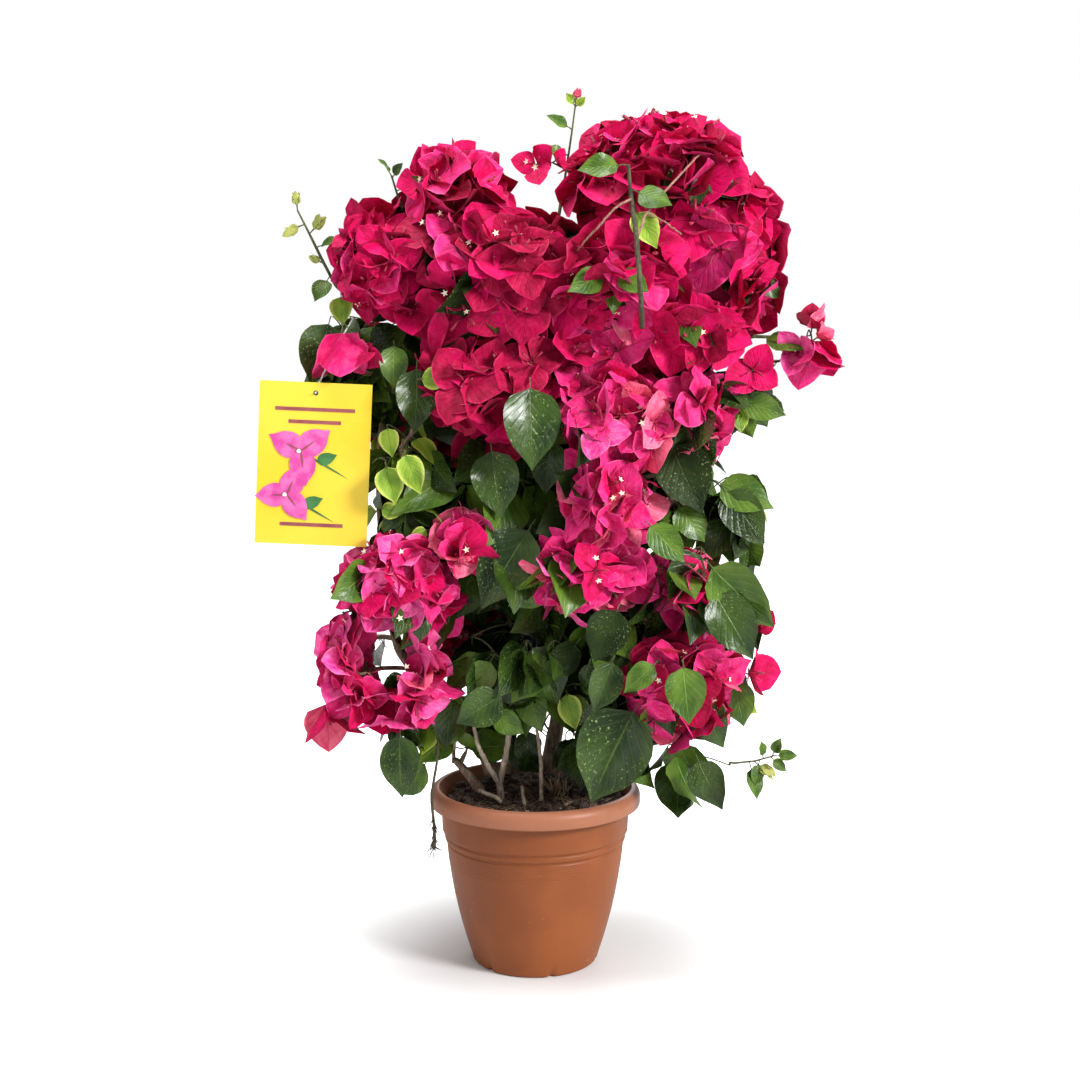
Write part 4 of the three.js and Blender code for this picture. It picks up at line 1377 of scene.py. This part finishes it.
def make_front_twigs():
    """The lower part of the cut stick, which runs down in front of the bloom, and thin twigs beside it."""
    stick, thin = Bundle(), Bundle()
    for route, radii, kind in FRONT_TWIGS:
        line = uneven_line(route, 6 * len(route), 0.00025)
        (stick if kind == "stick" else thin).tube(line, np.linspace(*radii, len(line)), sides=7)
    stick.piece("stick_lower_part", bark_look("stick_bark", STICK_BARK, 120), "bark")
    thin.piece("twigs_in_front", bark_look("red_twig", RED_BARK, 160), "bark")


def make_side_stems():
    """The thin side stems at the foot of the bush."""
    pale = Bundle()
    for route, radii in FOOT_STEMS:
        line = uneven_line(route, 8 * len(route), 0.0003)
        knots = 1 + 0.12 * RNG.random(len(line))
        pale.tube(line, np.linspace(*radii, len(line)) * knots, sides=9)
    pale.piece("side_stems", bark_look("pale_bark", PALE_BARK, 110), "bark")


def dead_twigs(limbs):
    """Thin dead twigs at the stems' feet."""
    twigs = Bundle()
    for node in named("stem_"):
        points = limbs[node][0]
        for _ in range(3):
            line = [points[RNG.integers(2, 14)]]
            lean = RNG.normal(0, 0.45, 2)
            reach = RNG.uniform(0.03, 0.075)
            for _ in range(5):
                way = unit(np.array([*lean, 1.0]) + 0.35 * RNG.normal(size=3) * [1, 1, 0.4])
                line.append(line[-1] + way * reach / 5)
            twigs.tube(line, np.linspace(0.0014, 0.0007, 6), sides=6)
    return twigs


def stump_fibres():
    """A stump of stiff fibres that stands on the soil."""
    fibres = Bundle()
    foot = np.array([0.024, -0.004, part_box("soil")[1].z - 0.002])
    for _ in range(26):
        away = np.array([RNG.normal(0, 0.35), RNG.normal(0, 0.35), 1.0])
        tall = RNG.uniform(0.012, 0.03)
        root = foot + np.array([*RNG.normal(0, 0.004, 2), 0])
        middle = root + away * tall * 0.5 + RNG.normal(0, 0.0012, 3)
        fibres.tube([root, middle, root + away * tall], [0.0011, 0.0009, 0.0003], sides=5)
    return fibres


def tendril():
    """A dry tendril that hangs past the pot's rim and ends in a tuft."""
    dark = Bundle()
    along = np.linspace(0, 1, 16)
    fall = np.stack([-0.005 * np.sin(along * 2.2), -0.006 * along, -0.104 * along], 1)
    curl = 0.0012 * np.stack([np.sin(9 * along), np.cos(7 * along), 0 * along], 1)
    strand = np.array(TENDRIL_START) + fall + curl
    dark.tube(strand, np.linspace(0.0012, 0.0017, 16), sides=5)
    for _ in range(34):
        root = strand[RNG.integers(11, 16)]
        way = unit(np.array([RNG.normal(0, 0.5), RNG.normal(0, 0.5), -1.0]))
        reach = RNG.uniform(0.006, 0.016)
        hair = [root, root + way * reach * 0.6, root + way * reach]
        dark.tube(hair, [0.0006, 0.0005, 0.0002], sides=4)
    return dark


def make_dry_wood(limbs):
    """The dead twigs, the stump and the tendril."""
    twigs, fibres, dark = dead_twigs(limbs), stump_fibres(), tendril()
    dark.piece("dry_tendril", bark_look("dark_bark", DARK_BARK, 160), "bark")
    twigs.piece("twigs_dry", bark_look("dry_bark", DRY_BARK, 160), "bark")
    fibres.piece("stump_fibres", bark_look("stump", STUMP_BARK, 220), "bark")


# ------------------------------------------------------------------ what the blades keep clear of

CARD_LOW, CARD_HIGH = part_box("care_card")
POT_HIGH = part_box("pot")[1]
CARD_MARGIN = (0.004, 0.012, 0.006)  # round the view of the card: left and below, right, and above
CARD_AWAY = 0.005  # how near the card's plane a blade may come
RIM_INSIDE = 0.09


def clear(vertices):
    """Whether a blade keeps clear of the card, of the view of it, of the pot and of the gaps."""
    x, y, z = vertices.T
    for across, up, wide, tall in GAPS:
        if np.any(((x - across) / wide) ** 2 + ((z - up) / tall) ** 2 < 1):
            return False
    near, right, above = CARD_MARGIN
    over = (x > CARD_LOW.x - near) & (x < CARD_HIGH.x - right) & (z > CARD_LOW.z - near)
    if np.any(over & (z < CARD_HIGH.z - above) & (y < CARD_HIGH.y + near)):
        return False
    beside = (x < CARD_HIGH.x) & (z > CARD_LOW.z) & (z < CARD_HIGH.z)
    if np.any(beside & (abs(y - CARD_LOW.y) < CARD_AWAY)):
        return False
    radius = np.hypot(x, y)
    if np.any((radius < POT_HIGH.x + 0.003) & (z < POT_HIGH.z + 0.002) & (radius > RIM_INSIDE)):
        return False
    return not np.any((radius <= RIM_INSIDE) & (z < POT_HIGH.z - 0.008))


# ------------------------------------------------------------------ card


# The printed blooms: across and up from the card's middle, the petals' length, and the first one's turn.
PRINTED_BLOOMS = [(-0.012, 0.012, 0.034, -65), (-0.024, -0.03, 0.031, -95)]
PRINTED_RULES = [(0.05, 0.076), (0.038, 0.05), (-0.06, 0.06)]  # how far up, and how wide
RULE = 0.0035


def card_place(across, up, lift=0.0):
    """A place on the front of the care card: metres from its middle, and how far it stands off."""
    middle = (np.array(CARD_LOW) + np.array(CARD_HIGH)) / 2
    right = np.array([math.cos(CARD_TILT), 0, -math.sin(CARD_TILT)])
    above = np.array([math.sin(CARD_TILT), 0, math.cos(CARD_TILT)])
    front = np.array([0, -(CARD_HIGH.y - CARD_LOW.y) / 2 - 0.0001 - lift, 0])
    return middle + right * across + above * up + front


def print_petal(bundle, foot, heading, length, width, outline, lift):
    """One flat petal or leaf of the card's drawing."""
    turn = math.radians(heading)
    way = np.array([math.sin(turn), math.cos(turn)])
    beside = np.array([way[1], -way[0]])
    along = np.linspace(0, 1, 13)
    half = outline(np.clip(along, 1e-4, 1 - 1e-4)) * width / 2
    edges = []
    for way_out in (-beside, beside):
        flat = [np.array(foot) + way * length * t + way_out * w for t, w in zip(along, half)]
        edges.append([card_place(*place, lift) for place in flat])
    bundle.add(np.stack(edges, 1).reshape(-1, 3), grid_faces(13, 2)[:, ::-1].tolist())


def recolour(name, material):
    """Gives a carried-over CAD node its material."""
    materials = NODES[name].data.materials
    materials.clear()
    materials.append(material)


def make_card():
    """The card's colour, a plain drawing of two blooms and rules that stand for its lines of words."""
    recolour("care_card", mottled_look("card_yellow", CARD_YELLOW, 9.0, (0.25, 0.35)))
    recolour("care_card_tie", mottled_look("tie_white", TIE_WHITE, 300.0, (0.3, 0.45)))
    inks = {name: Bundle() for name in PRINT}
    for x, y, size, first in PRINTED_BLOOMS:
        for k in range(3):
            turn = first + 118 * k
            print_petal(inks["pink"], (x, y), turn, size, size * 0.74, leaf_outline, 0.0006 + 0.0002 * k)
            print_petal(inks["dark"], (x, y), turn, size * 0.5, size * 0.05, leaf_outline, 0.0014)
        print_petal(inks["white"], (x - 0.002, y - 0.002), 0, 0.004, 0.004, bract_outline, 0.0018)
        print_petal(inks["green"], (x + 0.006, y - 0.004), 118, 0.046, 0.0022, leaf_outline, 0.0002)
        print_petal(inks["green"], (x + 0.016, y - 0.01), 68, 0.02, 0.012, leaf_outline, 0.0004)
    for up, wide in PRINTED_RULES:
        corners = [(-wide / 2, up), (wide / 2, up), (wide / 2, up + RULE), (-wide / 2, up + RULE)]
        inks["dark"].add([card_place(*corner, 0.0002) for corner in corners], [[0, 1, 2, 3]])
    for name, ink in inks.items():
        ink.piece("card_print_" + name, mottled_look("print_" + name, PRINT[name], 90.0), "card")


# ------------------------------------------------------------------ stage


AMBIENT = 0.5  # how bright the room's walls are for all but the camera
FLOOR_PAINTED_GLOW = (0.0, 0.95)  # how strongly the floor glows for the camera, a painted glow, beside the pot and far from it
PAINTED_GLOW_FROM = (0.09, 0.38)  # how far out that changes, in metres


def area_light(name, place, aim, size, power):
    """A round soft light at a place, turned to what it lights."""
    light = bpy.data.lights.new(name, "AREA")
    light.shape = "DISK"
    light.size = size
    light.energy = power
    made = bpy.data.objects.new(name, light)
    made.location = place
    made.rotation_euler = (Vector(aim) - Vector(place)).to_track_quat("-Z", "Y").to_euler()
    bpy.context.collection.objects.link(made)


def room_light():
    """A soft even room. The camera sees its walls as white, however low it is turned."""
    world = bpy.data.worlds.new("soft_room")
    bpy.context.scene.world = world
    world.use_nodes = True
    tree = world.node_tree
    background = tree.nodes["Background"]
    background.inputs["Color"].default_value = (1, 1, 1, 1)
    seen = tree.nodes.new("ShaderNodeLightPath")
    level = tree.nodes.new("ShaderNodeMapRange")
    tree.links.new(seen.outputs["Is Camera Ray"], level.inputs["Value"])
    level.inputs["To Min"].default_value = AMBIENT
    level.inputs["To Max"].default_value = 1.0
    tree.links.new(level.outputs[0], background.inputs["Strength"])


def make_floor():
    """A plain pale floor with a painted glow, seen only by the camera, that runs it out to white, with the
    soft shadow kept beside the pot.
    """
    mesh = bpy.data.meshes.new("floor")
    reach = 30.0
    corners = [(-reach, -reach, 0), (reach, -reach, 0), (reach, reach, 0), (-reach, reach, 0)]
    mesh.from_pydata(corners, [], [(0, 1, 2, 3)])
    look = Look("floor_white", Roughness=0.9, Specular_IOR_Level=0.1)
    grain = look.spread(look.noise(look.place(), 2), 0.3, 0.7)
    look.set("Base Color", look.mix(grain, (0.74, 0.74, 0.74), (0.76, 0.76, 0.76)))
    # painted glow: the camera sees the floor glow white, the more the further it is from the pot
    look.set("Emission Color", (1.0, 1.0, 1.0))
    away = look.node("VectorMath", {0: look.place()}, operation="LENGTH").outputs["Value"]
    lift = look.spread(away, *PAINTED_GLOW_FROM, *FLOOR_PAINTED_GLOW)
    seen = look.node("LightPath").outputs["Is Camera Ray"]
    look.set("Emission Strength", look.math("MULTIPLY", seen, lift))
    mesh.materials.append(look.material)
    floor = bpy.data.objects.new("floor", mesh)
    bpy.context.collection.objects.link(floor)


def make_stage():
    """The room, the floor and four soft lights."""
    room_light()
    make_floor()
    middle = (0, 0, 0.5)
    area_light("key", (1.85, -1.45, 1.45), middle, 0.8, 82)
    area_light("fill", (-1.7, -1.7, 1.0), middle, 1.4, 6)
    area_light("top", (-0.4, -0.2, 2.4), middle, 1.2, 42)
    area_light("back", (0.3, 2.2, 1.3), middle, 1.4, 14)


def make_camera():
    """The photograph's angle: level with the middle of the bush and looking a little down."""
    camera = bpy.data.cameras.new("camera")
    camera.sensor_width = 36
    camera.lens = 48.9
    camera.shift_y = -0.0655
    made = bpy.data.objects.new("camera", camera)
    made.location = (0.0049, -1.458, 0.568)
    made.rotation_euler = (math.radians(90 - 3), 0, 0)
    bpy.context.collection.objects.link(made)
    bpy.context.scene.camera = made
    bpy.context.scene.view_settings.view_transform = "Standard"


# ------------------------------------------------------------------ assembly


def named(*prefixes):
    """The CAD nodes whose names start with any of these, in order."""
    return [name for name in sorted(NODES) if name.startswith(prefixes)]


make_camera()
make_stage()
make_pot()
make_soil()
make_card()
bark = bark_look("bark", BARK)
green_bark = bark_look("green_bark", GREEN_WOOD, 90)
stick_bark = bark_look("cut_stick_bark", STICK_BARK, 90)
limbs = {}
for node in named("stem_", "shoot_", "bough_"):
    wood = bark if node.startswith("stem") else green_bark
    limbs[node] = make_stem(node, stick_bark if node == "shoot_cut_stick" else wood)

single = {row[0] for row in SINGLES}
full = [mass for mass in MASSES if mass.name not in single]
blooming = [mass for mass in full if mass.name.startswith("bloom_")]
tips = [dress_site(*site) for site in spread_sites(full)]
tips += [dress_site(*site, RNG.uniform(*UNDER_DEPTH)) for site in spread_sites(blooming, UNDER_SPACING)]
tips += [dress_inner(*site) for site in inner_sites()]
tips += dress_front()
tips += dress_singles(SINGLES)
tips += dress_fills()
tips += dress_singles(EDGE_BLOOMS)
tips += [points[0] for node, (points, _) in limbs.items() if not node.startswith("stem_")]
tips = [tip for tip in tips if tip is not None]
dress_shoots(limbs)
make_side_stems()
make_dry_wood(limbs)
make_front_twigs()
brown, green = grow_twigs(tips, limbs)
brown.piece("twigs_woody", bark_look("twig_bark", BARK, 120), "bark")
green.piece("twigs_green", bark_look("twig_green", GREEN_WOOD, 120), "green_shoot")
STALKS.piece("leaf_stalks", bark_look("stalk_green", GREEN_WOOD, 200), "green_shoot")
TUBES.piece("flower_tubes", mottled_look("tube_red", TUBE_RED), "bloom")
STARS.piece("flower_stars", mottled_look("star_cream", STAR_CREAM), "bloom")
for kind in BRACTS:
    BLADES[kind].piece("bracts_" + kind, bract_look(kind), "bloom", named("bloom_"), clear)
for kind in LEAVES:
    BLADES[kind].piece("leaves_" + kind, leaf_look(kind), "foliage", named("foliage_"), clear)
